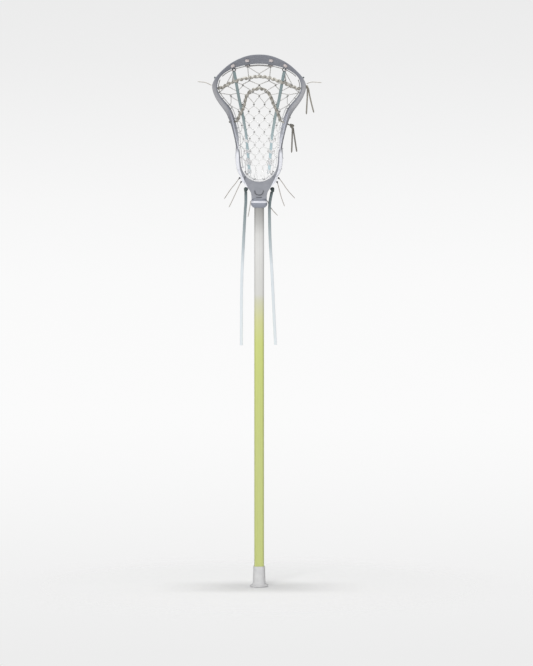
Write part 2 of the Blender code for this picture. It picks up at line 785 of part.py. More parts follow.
def strings():
    """Every cord, lace, strap and knot that is not the pocket's net."""
    scoop = edge_points(1043.0, HEAD[-1].z)
    edge_string("top_string", scoop + [p for p in mirrored(scoop, -1)[::-1] if p[0] < -0.5])
    for word, side in (("left", -1), ("right", 1)):
        edge_string(f"sidewall_string_{word}", mirrored(edge_points(856.0, 1038.0), side))
    throat = edge_points(0.0, 851.5)
    edge_string("throat_string", mirrored(throat, -1)[::-1] + [p for p in throat if p[0] > 0.5])

    runner("runner_left", -1)
    runner("runner_right", 1)
    shooter("straight_shooter", STRAIGHT_SHOOTER)
    shooter("u_shooter", U_SHOOTER)

    # Straps below the throat: where the runners come out, knotted, with long free ends.
    knot("runner_knot_left", (-28.2, 9.0, 813.4), (7.6, 6.4, 8.0), "strap_nylon", 12)
    knot("runner_knot_right", (28.2, 9.0, 813.4), (7.6, 6.4, 8.0), "strap_nylon", -12)
    route = [
        (-27.2, 9.6, 808.6, 8), (-27.3, 11.0, 786.0, 14), (-28.6, 11.6, 768.0, 20),
        (-32.0, 11.0, 704.0, 12), (-35.4, 10.0, 630.0, 0), (-36.2, 9.0, 560.0, -8),
        (-36.4, 8.4, 494.5, -4),
    ]
    strap("runner_tail_left", route, 3)
    route = [
        (25.9, 9.6, 808.6, -10), (21.6, 11.4, 784.0, -16), (21.2, 12.4, 754.0, -14),
        (22.6, 12.0, 704.0, -6), (26.2, 11.0, 642.0, 0), (30.4, 9.6, 556.0, 8),
        (33.4, 8.6, 495.5, 4),
    ]
    strap("runner_tail_right", route, 3)

    # Laces tied off outside the right sidewall, and their free ends.
    knot("straight_shooter_knot_left", (-94.1, 6.0, 1026.0), (5.0, 5.0, 5.0), "khaki_lace")
    knot("straight_shooter_knot_right", (96.4, 6.0, 1024.0), (8.6, 7.0, 7.4), "khaki_lace")
    route = [(98.6, 5.2, 1019.0), (98.2, 4.6, 1004.0), (97.2, 4.0, 986.0), (96.2, 3.6, 967.4)]
    string("straight_shooter_tail_a", route, LACE_RADIUS, "khaki_lace")
    route = [(100.6, 9.2, 1018.6), (103.4, 9.8, 1003.0), (107.4, 9.8, 986.0), (111.4, 9.4, 970.6)]
    string("straight_shooter_tail_b", route, LACE_RADIUS, "khaki_lace")
    knot("u_shooter_knot_left", (-59.9, 8.4, 951.4), (5.0, 4.4, 4.6), "khaki_lace")
    knot("u_shooter_knot_right", (66.4, 8.0, 943.6), (11.4, 8.4, 10.0), "khaki_lace", 18)
    route = [(67.8, 7.4, 937.6), (67.4, 6.6, 922.0), (66.8, 6.0, 905.0), (66.2, 5.8, 889.0)]
    string("u_shooter_tail_a", route, LACE_RADIUS, "khaki_lace")
    route = [(69.6, 11.6, 936.8), (72.0, 12.0, 921.0), (74.4, 12.0, 905.0), (76.8, 11.8, 890.4)]
    string("u_shooter_tail_b", route, LACE_RADIUS, "khaki_lace")

    # Knots that end the thin strings, and the thin free ends.
    for word, side in (("left", -1), ("right", 1)):
        knot(f"sidewall_knot_{word}", (side * 61.4, 9.6, 960.4), (6.0, 4.2, 4.6), "thin_string")
        knot(f"corner_knot_{word}", (side * 90.2, 7.0, 1042.0), (4.4, 4.4, 4.4), "thin_string")
        spot = (side * 39.6, -6.0, 837.6)
        knot(f"throat_knot_outer_{word}", spot, (4.6, 4.8, 4.6), "thin_string")
        spot = (side * 36.6, -4.0, 829.6)
        knot(f"throat_knot_inner_{word}", spot, (4.2, 4.6, 4.4), "thin_string")
    route = [(-42.2, -6.0, 835.2), (-48.4, -5.6, 826.4), (-58.4, -5.4, 814.0), (-71.4, -5.8, 794.8)]
    string("throat_tail_outer_left", route, STRING_RADIUS, "thin_string")
    route = [(-38.4, -3.8, 826.8), (-42.6, -3.4, 818.0), (-51.8, -3.4, 798.0), (-61.6, -3.8, 777.8)]
    string("throat_tail_inner_left", route, STRING_RADIUS, "thin_string")
    route = [(42.2, -6.0, 835.2), (47.6, -5.6, 828.0), (58.8, -5.4, 812.0), (73.0, -5.8, 796.0)]
    string("throat_tail_outer_right", route, STRING_RADIUS, "thin_string")
    route = [(37.8, -3.8, 826.6), (40.2, -3.4, 817.0), (45.4, -3.4, 797.6), (52.0, -3.8, 779.6)]
    string("throat_tail_inner_right", route, STRING_RADIUS, "thin_string")
    route = [(-17.6, 21.6, 789.0), (-18.6, 21.8, 780.0), (-20.6, 21.6, 768.0), (-22.8, 21.0, 756.6)]
    string("throat_string_tail_left", route, STRING_RADIUS, "thin_string")
    route = [(17.4, 21.8, 789.2), (20.8, 22.2, 780.0), (28.0, 22.0, 770.0), (37.8, 21.2, 759.4)]
    string("throat_string_tail_right", route, STRING_RADIUS, "thin_string")
    route = [(-97.6, 8.8, 1026.4), (-104.0, 8.2, 1029.6), (-112.0, 7.0, 1032.4), (-125.6, 3.0, 1033.8)]
    string("top_string_tail_left", route, STRING_RADIUS, "thin_string")
    route = [(97.6, 11.0, 1029.4), (104.0, 9.6, 1032.2), (112.0, 7.0, 1032.8), (127.4, 3.4, 1031.8)]
    string("top_string_tail_right", route, STRING_RADIUS, "thin_string")


clear_scene()
shaft()
head_frame()
ball_stop_pad()
head_screw()
butt_cap()
pocket_mesh()
strings()
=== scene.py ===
"""The looks of a women's lacrosse stick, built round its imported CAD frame.

Sizes and places in the helpers and tables are millimetres in the frame's axes: +Z up the
shaft, -Y out of the ball side of the head, +X to the right. MM turns them into metres.
"""

import math
from collections import namedtuple

import bmesh
import bpy
from mathutils import Matrix, Vector

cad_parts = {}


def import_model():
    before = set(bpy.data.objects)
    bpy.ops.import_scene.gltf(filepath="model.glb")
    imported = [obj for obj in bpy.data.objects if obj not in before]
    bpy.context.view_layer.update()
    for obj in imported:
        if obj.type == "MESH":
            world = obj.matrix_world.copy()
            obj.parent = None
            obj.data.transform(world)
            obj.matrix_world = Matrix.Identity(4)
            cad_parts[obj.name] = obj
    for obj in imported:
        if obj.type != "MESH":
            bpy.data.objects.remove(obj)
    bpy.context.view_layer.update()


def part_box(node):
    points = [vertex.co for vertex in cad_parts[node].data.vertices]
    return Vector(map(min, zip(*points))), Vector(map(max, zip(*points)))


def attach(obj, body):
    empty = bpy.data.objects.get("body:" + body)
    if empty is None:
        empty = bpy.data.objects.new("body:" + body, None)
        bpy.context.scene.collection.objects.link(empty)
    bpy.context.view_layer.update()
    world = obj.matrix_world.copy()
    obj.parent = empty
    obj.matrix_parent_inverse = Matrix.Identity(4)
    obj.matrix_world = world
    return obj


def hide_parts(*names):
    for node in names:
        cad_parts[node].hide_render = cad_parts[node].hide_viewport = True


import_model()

MM = 0.001
TAU = 2 * math.pi
BODY = "stick"

# ---- sizes that the CAD settles --------------------------------------------------------
# Clearance between parts that fit into one another.
GAP = 0.35
# The sidewall's web, the width of its string rail and the thickness of its front rail.
WEB, BACK_RAIL, RAIL_THICK = 3.0, 5.6, 4.0
THROAT_Z, SCREW_Z = 830.0, 805.0
# How far the pocket hangs back at its deepest.
SAG = 24.0
STRING_RADIUS, LACE_RADIUS = 0.8, 1.7
STRAP_WIDTH, STRAP_THICK = 6.0, 1.6
# Half of the shaft's width and depth, and how much of each its corners take.
SHAFT_X, SHAFT_Y = 10.0, 12.0
SHAFT_CORNER_X, SHAFT_CORNER_Y = 5.2, 5.6
COLLAR_BACK = 17.2
# How far inside the rails the edge strings run.
EDGE_INSET = 2.6
# Where the throat string passes through the throat: x and height.
THROAT_HOLES = [(-20.0, 834.0), (-7.0, 829.0), (7.0, 829.0), (20.0, 834.0)]

# The head's rail, from the middle of the throat up the right side to the middle of the
# scoop. x and z are its inner edge, width is how wide its front face is, lip and inner
# are the depths of that face's outer and inner edges, back is the depth of the string
# rail, and flare is how far out the string rail stands from the front rail.
Station = namedtuple("Station", "x z width lip inner back flare")
HEAD = [Station(*row) for row in (
    (0.0, 830.0, 6.0, -21.0, -21.0, 20.0, 0.0), (14.0, 832.6, 6.0, -21.0, -21.0, 20.0, 0.3),
    (24.5, 839.5, 5.0, -21.0, -21.0, 20.3, 3.0), (31.6, 849.5, 9.4, -21.0, -21.0, 20.8, 5.6),
    (36.6, 863.0, 10.0, -20.8, -20.8, 21.3, 5.0), (38.3, 879.0, 9.6, -20.3, -20.3, 21.7, 4.6),
    (39.4, 893.0, 7.6, -19.9, -19.8, 21.7, 3.4), (42.8, 908.0, 5.2, -19.3, -19.2, 21.4, -1.8),
    (46.6, 926.0, 5.2, -18.5, -18.3, 20.7, -4.6), (50.4, 946.0, 6.6, -17.5, -17.1, 19.6, -4.2),
    (54.6, 966.0, 9.6, -16.5, -16.0, 18.2, -2.4), (59.8, 980.0, 11.6, -15.8, -15.2, 17.2, -1.2),
    (68.6, 991.2, 11.2, -15.3, -14.6, 16.2, -0.5), (78.2, 1003.6, 10.4, -15.0, -14.1, 15.0, 0.0),
    (84.2, 1015.0, 9.6, -15.0, -13.8, 14.2, 0.0), (85.3, 1026.0, 10.6, -15.2, -13.5, 13.3, 0.0),
    (82.0, 1038.4, 8.2, -15.8, -12.5, 12.3, 0.0), (76.6, 1046.2, 7.2, -16.3, -11.5, 11.6, 0.0),
    (68.0, 1053.3, 8.2, -16.9, -10.2, 11.0, 0.0), (56.0, 1059.6, 11.6, -17.9, -8.0, 10.2, 0.0),
    (40.0, 1064.8, 15.6, -19.0, -5.6, 9.4, 0.0), (20.0, 1068.8, 19.0, -19.8, -3.8, 8.6, 0.0),
    (0.0, 1070.4, 19.6, -20.0, -3.2, 8.2, 0.0),
)]


# ---- curves ----------------------------------------------------------------------------
def smooth(points, steps, mirror_ends=False):
    """A Catmull-Rom curve through points of any length, steps pieces between each two."""
    points = [tuple(p) for p in points]
    if mirror_ends:
        before = (-points[1][0], *points[1][1:])
        after = (-points[-2][0], *points[-2][1:])
    else:
        before = tuple(2 * a - b for a, b in zip(points[0], points[1]))
        after = tuple(2 * a - b for a, b in zip(points[-1], points[-2]))
    row = [before, *points, after]
    made = []
    for i in range(1, len(row) - 2):
        a, b, c, d = row[i - 1 : i + 3]
        for k in range(steps):
            t = k / steps
            made.append(tuple(
                q + t * (r - p + t * (2 * p - 5 * q + 4 * r - s + t * (3 * q - p - 3 * r + s))) / 2
                for p, q, r, s in zip(a, b, c, d)
            ))
    made.append(points[-1])
    return made


def distances(points, size=3):
    """How far along a line each point is. Only the first size values of a point count."""
    reach = [0.0]
    for a, b in zip(points, points[1:]):
        reach.append(reach[-1] + math.dist(a[:size], b[:size]))
    return reach


def spaced(points, step, size=3):
    """Points at even distances along a line. Values past the first size ride along."""
    reach = distances(points, size)
    count = max(3, round(reach[-1] / step) + 1)
    made, j = [], 0
    for i in range(count):
        want = reach[-1] * i / (count - 1)
        while j < len(reach) - 2 and reach[j + 1] < want:
            j += 1
        share = (want - reach[j]) / max(reach[j + 1] - reach[j], 1e-9)
        made.append(tuple(p + (q - p) * share for p, q in zip(points[j], points[j + 1])))
    return made


def ease(t):
    t = min(1.0, max(0.0, t))
    return t * t * (3 - 2 * t)


def mix(a, b, t):
    return a + (b - a) * t


FINE = [Station(*p) for p in smooth(HEAD, 12, mirror_ends=True)]


def around(line, i):
    """The points before and after one of a line's points, or the point itself at an end."""
    return line[max(i - 1, 0)], line[min(i + 1, len(line) - 1)]


def heading(line, i):
    """The direction of a line of (x, z) points at one of them, of length 1."""
    before, after = around(line, i)
    dx, dz = after[0] - before[0], after[1] - before[1]
    size = math.hypot(dx, dz)
    return dx / size, dz / size


def outward(rail, i):
    """The direction out of the head's opening at one of the rail's stations."""
    before, after = around(rail, i)
    dx, dz = after.x - before.x, after.z - before.z
    if i in (0, len(rail) - 1):
        dz = 0.0
    size = math.hypot(dx, dz)
    return dz / size, -dx / size


def station_at(z):
    """The rail's station at a height."""
    for low, high in zip(FINE, FINE[1:]):
        if high.z >= z:
            t = max(0.0, (z - low.z) / (high.z - low.z))
            return Station(*(mix(a, b, t) for a, b in zip(low, high)))
    return FINE[-1]


def inset_edge(inset):
    """A line inside both rails, as (x, z, back) from throat to scoop."""
    made = []
    for i, here in enumerate(FINE):
        ox, oz = outward(FINE, i)
        reach = inset - min(0.0, here.flare)
        made.append((here.x - ox * reach, here.z - oz * reach, here.back))
    return made


# The line that the edge strings follow.
STRING_LINE = inset_edge(EDGE_INSET)


def crossing(line, at, key, value, otherwise):
    """One coordinate of a line where another one first reaches a value."""
    for a, b in zip(line, line[1:]):
        if a[key] <= at <= b[key]:
            return mix(a[value], b[value], (at - a[key]) / max(b[key] - a[key], 1e-6))
    return otherwise


def half_width(z):
    """How far the line of the edge strings is from the middle at a height."""
    return crossing(STRING_LINE, z, 1, 0, 0.0)


def top_edge(x):
    """The height of the top string at a distance from the middle."""
    return crossing(STRING_LINE[::-1], abs(x), 0, 1, 1030.0)


def bottom_edge(x):
    """The height of the throat string at a distance from the middle."""
    return crossing(STRING_LINE, abs(x), 0, 1, 850.0)


def pocket_depth(x, z):
    """The depth of the pocket's surface: it hangs between the string rails."""
    here = station_at(z)
    edge = max(here.x + here.flare, 1.0)
    share = min(1.0, max(0.0, (z - THROAT_Z) / (HEAD[-1].z - THROAT_Z)))
    sag = SAG * math.sin(math.pi * share**0.62) ** 0.85
    across = min(1.0, abs(x) / edge)
    return here.back - 4.0 + sag * (1.0 - across**2.2)


def front_of_pocket(x, z, gap):
    """The depth at which something lies in front of the pocket's surface."""
    slope = (pocket_depth(x + 1, z) - pocket_depth(x - 1, z)) / 2
    return pocket_depth(x, z) - (0.8 + gap) * math.hypot(1.0, slope)


# ---- meshes ----------------------------------------------------------------------------
def turns(count):
    """Angles spread evenly round a full turn."""
    return [TAU * k / count for k in range(count)]


def linked(name, data):
    """A new object in the scene."""
    obj = bpy.data.objects.new(name, data)
    bpy.context.scene.collection.objects.link(obj)
    return obj


class Skin:
    """Collects points, faces and cord coordinates in millimetres for one mesh."""

    def __init__(self):
        self.points, self.faces, self.coords, self.slots = [], [], [], []

    def face(self, corners, coords, slot):
        self.faces.append(corners)
        self.coords.append(coords)
        self.slots.append(slot)

    def loft(self, loops, slot=0, closed=False):
        """Joins loops of equal length. u runs along the loops and v round them."""
        base, count, rows = len(self.points), len(loops[0]), len(loops)
        self.points += [tuple(p) for loop in loops for p in loop]
        middles = [sum((Vector(p) for p in loop), Vector()) / count for loop in loops]
        reach = distances([*middles, middles[0]])
        for i in range(rows if closed else rows - 1):
            a, b = base + i * count, base + (i + 1) % rows * count
            for k in range(count):
                n, v0, v1 = (k + 1) % count, k / count, (k + 1) / count
                coords = [(reach[i + far], v) for far, v in ((0, v0), (0, v1), (1, v1), (1, v0))]
                self.face((a + k, a + n, b + n, b + k), coords, slot)
        if not closed:
            ends = [list(range(base + row * count, base + (row + 1) * count)) for row in (0, rows - 1)]
            for ring, end in ((ends[0][::-1], reach[0]), (ends[1], reach[rows - 1])):
                self.face(tuple(ring), [(end, k / count) for k in range(count)], slot)

    def tube(self, line, radius, sides=8, lobes=0, twist=0.0, bite=0.0, taper=0.0):
        """A round or lobed tube. Its ends are rounded, and taper thins the last bit."""
        line = [Vector(p) for p in line]
        reach = distances(line)
        total = reach[-1]
        side = None
        loops = []
        for i, centre in enumerate(line):
            before, after = around(line, i)
            ahead = (after - before).normalized()
            if side is None:
                side = ahead.orthogonal().normalized()
            side = (side - ahead * side.dot(ahead)).normalized()
            up = ahead.cross(side)
            r = radius
            if taper and total - reach[i] < taper:
                r *= mix(0.45, 1.0, (total - reach[i]) / taper)
            ring = []
            for angle in turns(sides):
                waves = math.cos(lobes * (angle - twist * reach[i])) if lobes else 1.0
                grow = 1.0 - bite * (1.0 - waves) / 2
                ring.append(centre + (side * math.cos(angle) + up * math.sin(angle)) * (r * grow))
            loops.append(ring)
            if i in (0, len(line) - 1):
                tip = centre + ahead * r * (0.45 if i else -0.45)
                loops.insert(len(loops) if i else 0, [tip + (p - centre) * 0.55 for p in ring])
        self.loft(loops)

    def build(self, name, materials, angle=40):
        """Makes an object. Edges sharper than the angle stay sharp."""
        mesh = bpy.data.meshes.new(name)
        mesh.from_pydata([Vector(p) * MM for p in self.points], [], self.faces)
        layer = mesh.uv_layers.new(name="cord")
        layer.data.foreach_set("uv", [c for corners in self.coords for uv in corners for c in uv])
        mesh.polygons.foreach_set("material_index", self.slots)
        work = bmesh.new()
        work.from_mesh(mesh)
        bmesh.ops.recalc_face_normals(work, faces=work.faces)
        work.to_mesh(mesh)
        work.free()
        mesh.shade_smooth()
        if angle < 180:
            mesh.set_sharp_from_angle(angle=math.radians(angle))
        for made in materials if isinstance(materials, list) else [materials]:
            mesh.materials.append(made)
        return linked(name, mesh)


def lofted(loops, slot=0):
    """A skin over one row of loops."""
    skin = Skin()
    skin.loft(loops, slot)
    return skin


def applied(obj):
    """Replaces an object's mesh with what its modifiers make of it."""
    graph = bpy.context.evaluated_depsgraph_get()
    mesh = bpy.data.meshes.new_from_object(obj.evaluated_get(graph))
    obj.modifiers.clear()
    obj.data = mesh
    return obj


def boolean(target, other, operation):
    """Joins another object to a target or cuts it out, and removes that object."""
    step = target.modifiers.new(operation.lower(), "BOOLEAN")
    step.operation = operation
    step.solver = "EXACT"
    step.object = other
    applied(target)
    bpy.data.objects.remove(other)
    return target


def soften(obj, width):
    """Bevels an object's sharp edges."""
    step = obj.modifiers.new("edges", "BEVEL")
    step.width = width * MM
    step.segments = 2
    step.limit_method = "ANGLE"
    step.angle_limit = math.radians(50)
    return applied(obj)


def sharpen(obj, angle):
    """Marks an object's edges that turn by more than an angle in degrees as sharp."""
    obj.data.set_sharp_from_angle(angle=math.radians(angle))


def put(obj, body, slot, *nodes):
    """Hangs a finished piece on the body it rides on and hides the CAD nodes it stands for. slot, what
    it is made of, is not used.
    """
    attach(obj, body)
    if nodes:
        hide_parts(*nodes)
    return obj


# ---- materials -------------------------------------------------------------------------
def grey(value):
    return (value, value, value)


def rgba(value):
    """A colour with its alpha. A socket stays as it is."""
    return (*value, 1.0) if isinstance(value, tuple) else value


class Nodes:
    """Short ways to add nodes to the tree of a material or a world."""

    def __init__(self, tree):
        self.tree = tree

    def node(self, kind, inputs=None, **settings):
        made = self.tree.nodes.new("ShaderNode" + kind)
        for key, value in settings.items():
            setattr(made, key, value)
        for key, value in (inputs or {}).items():
            self.set(made.inputs[key], value)
        return made

    def set(self, socket, value):
        if isinstance(value, bpy.types.NodeSocket):
            self.tree.links.new(value, socket)
        else:
            socket.default_value = value

    def math(self, operation, a, b=0.0):
        return self.node("Math", {0: a, 1: b}, operation=operation).outputs[0]

    def plus(self, a, b):
        return self.math("ADD", a, b)

    def times(self, a, b):
        return self.math("MULTIPLY", a, b)

    def split(self, vector):
        """The X, Y and Z sockets of a vector."""
        return self.node("SeparateXYZ", {0: vector}).outputs

    def ramp(self, value, stops):
        """A colour ramp from (place, colour) pairs."""
        made = self.node("ValToRGB", {"Fac": value})
        ramp = made.color_ramp
        while len(ramp.elements) < len(stops):
            ramp.elements.new(0.5)
        for element, (place, colour) in zip(ramp.elements, stops):
            element.position = place
            element.color = rgba(colour)
        return made.outputs["Color"]

    def span(self, value, low, high, to_low=0.0, to_high=1.0, smooth=False):
        """Turns the values from low to high into those from to_low to to_high."""
        inputs = {0: value, 1: low, 2: high, 3: to_low, 4: to_high}
        kind = "SMOOTHSTEP" if smooth else "LINEAR"
        return self.node("MapRange", inputs, interpolation_type=kind).outputs[0]

    def blend(self, factor, a, b, kind="MIX"):
        inputs = {"Factor": factor, 6: rgba(a), 7: rgba(b)}
        return self.node("Mix", inputs, data_type="RGBA", blend_type=kind).outputs[2]


class Paint(Nodes):
    """A Principled material."""

    def __init__(self, name, roughness, **fixed):
        self.made = bpy.data.materials.new(name)
        self.made.use_nodes = True
        super().__init__(self.made.node_tree)
        self.shader = self.tree.nodes["Principled BSDF"]
        self.shader.inputs["Roughness"].default_value = roughness
        for socket, value in fixed.items():
            self.shader.inputs[socket.replace("_", " ")].default_value = value

    def place(self):
        """Where a point is on the object, as a vector in metres."""
        return self.node("TexCoord").outputs["Object"]

    def axis(self, name):
        return self.split(self.place())[name]

    def cord(self):
        """Distance along a cord in millimetres, and the share of the way round it."""
        parts = self.split(self.node("UVMap", uv_map="cord").outputs[0])
        return parts["X"], parts["Y"]

    def noise(self, scale, detail=3.0, stretch=None):
        """Smooth noise. stretch scales it by axis, so a small number draws it out."""
        place = self.place()
        if stretch:
            place = self.node("Mapping", {"Vector": place, "Scale": stretch}).outputs[0]
        inputs = {"Vector": place, "Scale": scale, "Detail": detail}
        return self.node("TexNoise", inputs).outputs["Fac"]

    def colour(self, value):
        self.set(self.shader.inputs["Base Color"], rgba(value))

    def rough(self, value):
        self.set(self.shader.inputs["Roughness"], value)

    def bump(self, height, distance, strength=1.0, under=None):
        """Adds relief of a height in millimetres."""
        inputs = {"Height": height, "Distance": distance * MM, "Strength": strength}
        if under is not None:
            inputs["Normal"] = under
        made = self.node("Bump", inputs)
        self.set(self.shader.inputs["Normal"], made.outputs[0])
        return made.outputs[0]


def braid(paint, strands, pitch):
    """The height of a round braid: two sets of strands that cross."""
    along, around = paint.cord()
    turn = paint.times(around, strands * TAU)
    run = paint.times(along, TAU / pitch)
    one = paint.math("SINE", paint.plus(turn, run))
    two = paint.math("SINE", paint.math("SUBTRACT", turn, run))
    return paint.math("MAXIMUM", one, two)


def moulded(name, colour, roughness):
    """Injection-moulded nylon: faint mottling, patchy roughness and fine texture."""
    paint = Paint(name, roughness, IOR=1.5)
    darker = tuple(c * 0.975 for c in colour)
    lighter = tuple(min(1.0, c * 1.025) for c in colour)
    mottle = paint.ramp(paint.noise(38.0, 4.0), [(0.35, darker), (0.65, lighter)])
    paint.colour(mottle)
    paint.rough(paint.span(paint.noise(160.0), 0.3, 0.7, roughness - 0.06, roughness + 0.08))
    broad = paint.bump(paint.noise(90.0, 1.0), 0.12, 0.35)
    paint.bump(paint.noise(2600.0, 2.0), 0.012, 0.35, broad)
    return paint


NYLON_ROUGHNESS = 0.44
HEAD_GREY = (0.262, 0.272, 0.308)
HEAD_WHITE = (0.83, 0.84, 0.90)
# Where the grey of the throat's face ends on the right, as (x, z) from the rail down to the
# collar. All of it is closer to the middle than TONE_WIDE and between the two heights.
TONE_WIDE, TONE_LOW, TONE_HIGH = 50.0, 800.0, 860.0
TONE_EDGE = [
    (37.6, 854.0), (36.0, 847.0), (33.8, 841.5), (31.2, 836.2), (28.1, 829.0), (25.3, 823.7),
    (21.7, 816.5), (19.4, 811.2), (18.4, 802.2),
]


def zoned(name, low, high, stops, tone_edge=()):
    """Moulded nylon whose colour changes with height, from (height in metres, colour) stops.

    Low on the head it is white on the outer side of tone_edge.
    """
    paint = moulded(name, HEAD_GREY, NYLON_ROUGHNESS)
    rows = [((z - low) / (high - low), colour) for z, colour in stops]
    base = paint.ramp(paint.span(paint.axis("Z"), low, high), rows)
    if tone_edge:
        # The ramp's greys are the line's distance from the middle, as shares of TONE_WIDE.
        tall = TONE_HIGH - TONE_LOW
        rows = [((z - TONE_LOW) / tall, grey(x / TONE_WIDE)) for x, z in reversed(tone_edge)]
        reach = paint.span(paint.axis("Z"), TONE_LOW * MM, TONE_HIGH * MM)
        aside = paint.times(paint.math("ABSOLUTE", paint.axis("X")), 1 / (TONE_WIDE * MM))
        beyond = paint.math("SUBTRACT", aside, paint.ramp(reach, rows))
        low_down = paint.span(paint.axis("Z"), 0.853, 0.857, 1.0, 0.0)
        outside = paint.times(paint.span(beyond, -0.008, 0.008), low_down)
        base = paint.blend(outside, base, HEAD_WHITE)
    mottle = paint.ramp(paint.noise(38.0, 4.0), [(0.35, grey(0.485)), (0.65, grey(0.515))])
    paint.colour(paint.blend(1.0, base, mottle, "SOFT_LIGHT"))
    return paint.made


def head_front():
    """The front faces: grey, but white where the lower sidewalls are white, and painted darker from
    0.900 to 0.955 m up as shadow on the rails.
    """
    # The darker grey band on the rails' front faces is painted shadow.
    collar, rail_shadow, pale = (0.33, 0.35, 0.41), (0.165, 0.170, 0.195), (0.335, 0.337, 0.358)
    stops = [
        (0.770, collar), (0.792, collar), (0.802, HEAD_GREY), (0.852, HEAD_GREY),
        (0.857, HEAD_WHITE), (0.888, HEAD_WHITE), (0.900, rail_shadow), (0.955, rail_shadow),
        (0.985, pale), (1.020, pale), (1.045, HEAD_GREY), (1.070, HEAD_GREY),
    ]
    return zoned("head_front_nylon", 0.77, 1.07, stops, TONE_EDGE)


def head_sides():
    """The walls: white low down, fading into the grey higher up and below the throat."""
    stops = [
        (0.800, HEAD_GREY), (0.813, HEAD_GREY), (0.821, HEAD_WHITE), (0.895, HEAD_WHITE),
        (0.925, (0.60, 0.62, 0.69)), (0.946, (0.49, 0.51, 0.58)), (0.964, (0.38, 0.39, 0.45)),
        (0.978, HEAD_GREY), (1.000, HEAD_GREY),
    ]
    return zoned("head_wall_nylon", 0.80, 1.00, stops)


def head_recess():
    """The sunk marks in the throat: a coarser finish, and painted darker as the shade inside them."""
    return moulded("head_recess_shade_nylon", tuple(c * 0.62 for c in HEAD_GREY), 0.6).made


def shaft_paint():
    """Painted tube: off-white below the head, then yellow-green towards the hand. Just under the collar
    it is painted darker grey as the collar's shadow.
    """
    paint = Paint("shaft_paint", 0.30, Coat_Weight=0.35, Coat_Roughness=0.12)
    top = 0.85
    height = paint.span(paint.axis("Z"), 0.0, top)
    # From 0.722 m up to the collar the colour darkens to grey: painted shadow under the collar.
    rows = [
        (0.000, (0.520, 0.570, 0.190)), (0.250, (0.600, 0.655, 0.235)), (0.440, (0.640, 0.705, 0.220)),
        (0.500, (0.660, 0.725, 0.225)), (0.546, (0.705, 0.720, 0.330)), (0.587, (0.705, 0.705, 0.520)),
        (0.600, (0.735, 0.732, 0.700)), (0.690, (0.800, 0.795, 0.780)), (0.722, (0.745, 0.740, 0.725)),
        (0.748, (0.530, 0.528, 0.515)), (0.762, (0.445, 0.443, 0.430)), (0.778, (0.350, 0.348, 0.335)),
    ]
    stops = [(z / top, colour) for z, colour in rows]
    mottle = paint.noise(24.0, 2.0, (1.0, 1.0, 0.08))
    tint = paint.ramp(mottle, [(0.3, grey(0.47)), (0.7, grey(0.53))])
    paint.colour(paint.blend(0.6, paint.ramp(height, stops), tint, "SOFT_LIGHT"))
    scuff = paint.noise(300.0, 3.0, (1.0, 1.0, 0.02))
    paint.rough(paint.span(scuff, 0.35, 0.75, 0.26, 0.40))
    peel = paint.bump(paint.noise(700.0, 1.0), 0.02, 0.35)
    paint.bump(paint.noise(60.0, 2.0, (1.0, 1.0, 0.15)), 0.05, 0.3, peel)
    return paint.made


def cap_rubber():
    """Pale grey rubber, matt and slightly grained."""
    paint = Paint("cap_rubber", 0.62, Sheen_Weight=0.15, Sheen_Roughness=0.5)
    mottle = paint.noise(90.0, 4.0)
    paint.colour(paint.ramp(mottle, [(0.3, (0.61, 0.61, 0.615)), (0.7, (0.67, 0.67, 0.672))]))
    paint.rough(paint.span(mottle, 0.3, 0.7, 0.55, 0.70))
    grain = paint.bump(paint.noise(1500.0, 3.0), 0.05, 0.6)
    paint.bump(paint.noise(140.0, 2.0), 0.10, 0.3, grain)
    return paint.made


def steel():
    """Turned steel with fine marks round the screw."""
    paint = Paint("screw_steel", 0.28, Metallic=1.0)
    brushed = paint.noise(900.0, 3.0, (1.0, 0.05, 1.0))
    paint.colour(paint.ramp(brushed, [(0.3, (0.50, 0.50, 0.51)), (0.7, grey(0.66))]))
    paint.rough(paint.span(brushed, 0.3, 0.7, 0.22, 0.42))
    paint.bump(brushed, 0.02, 0.4)
    return paint.made


def foam():
    """Closed-cell foam with a fine pitted skin."""
    paint = Paint("white_foam", 0.85, Sheen_Weight=0.2)
    cells = paint.node("TexVoronoi", {"Vector": paint.place(), "Scale": 1400.0}).outputs["Distance"]
    paint.colour(paint.ramp(cells, [(0.0, (0.70, 0.70, 0.71)), (0.4, (0.84, 0.84, 0.85))]))
    paint.bump(cells, 0.06, 0.6)
    return paint.made


def woven(paint, base, height, depth, groove_shade, worn, scale):
    """Finishes a braid: painted shade in its grooves, worn in patches, and fuzzy."""
    dark = paint.ramp(paint.span(height, -0.2, 1.0), [(0.0, grey(groove_shade)), (0.6, grey(0.53))])
    patches = paint.ramp(paint.noise(scale, 4.0), [(0.3, grey(0.5 - worn)), (0.7, grey(0.5 + worn))])
    shaded = paint.blend(0.8, base, dark, "SOFT_LIGHT")
    paint.colour(paint.blend(0.8, shaded, patches, "SOFT_LIGHT"))
    fuzz = paint.bump(paint.noise(3500.0, 2.0), 0.04, 0.5)
    paint.bump(height, depth, 0.8, fuzz)
    return paint.made


def cord_paint(name, low, high, strands, pitch, depth, fade=(0.90, 1.0)):
    """Braided cord. low and high are its colours at two heights up the stick."""
    paint = Paint(name, 0.72, Sheen_Weight=0.25, Sheen_Roughness=0.4)
    base = paint.ramp(paint.span(paint.axis("Z"), *fade), [(0.0, low), (1.0, high)])
    return woven(paint, base, braid(paint, strands, pitch), depth, 0.36, 0.06, 130.0)


# How far along a shooting lace its two cords take to change places.
LACE_BEAT = 10.6


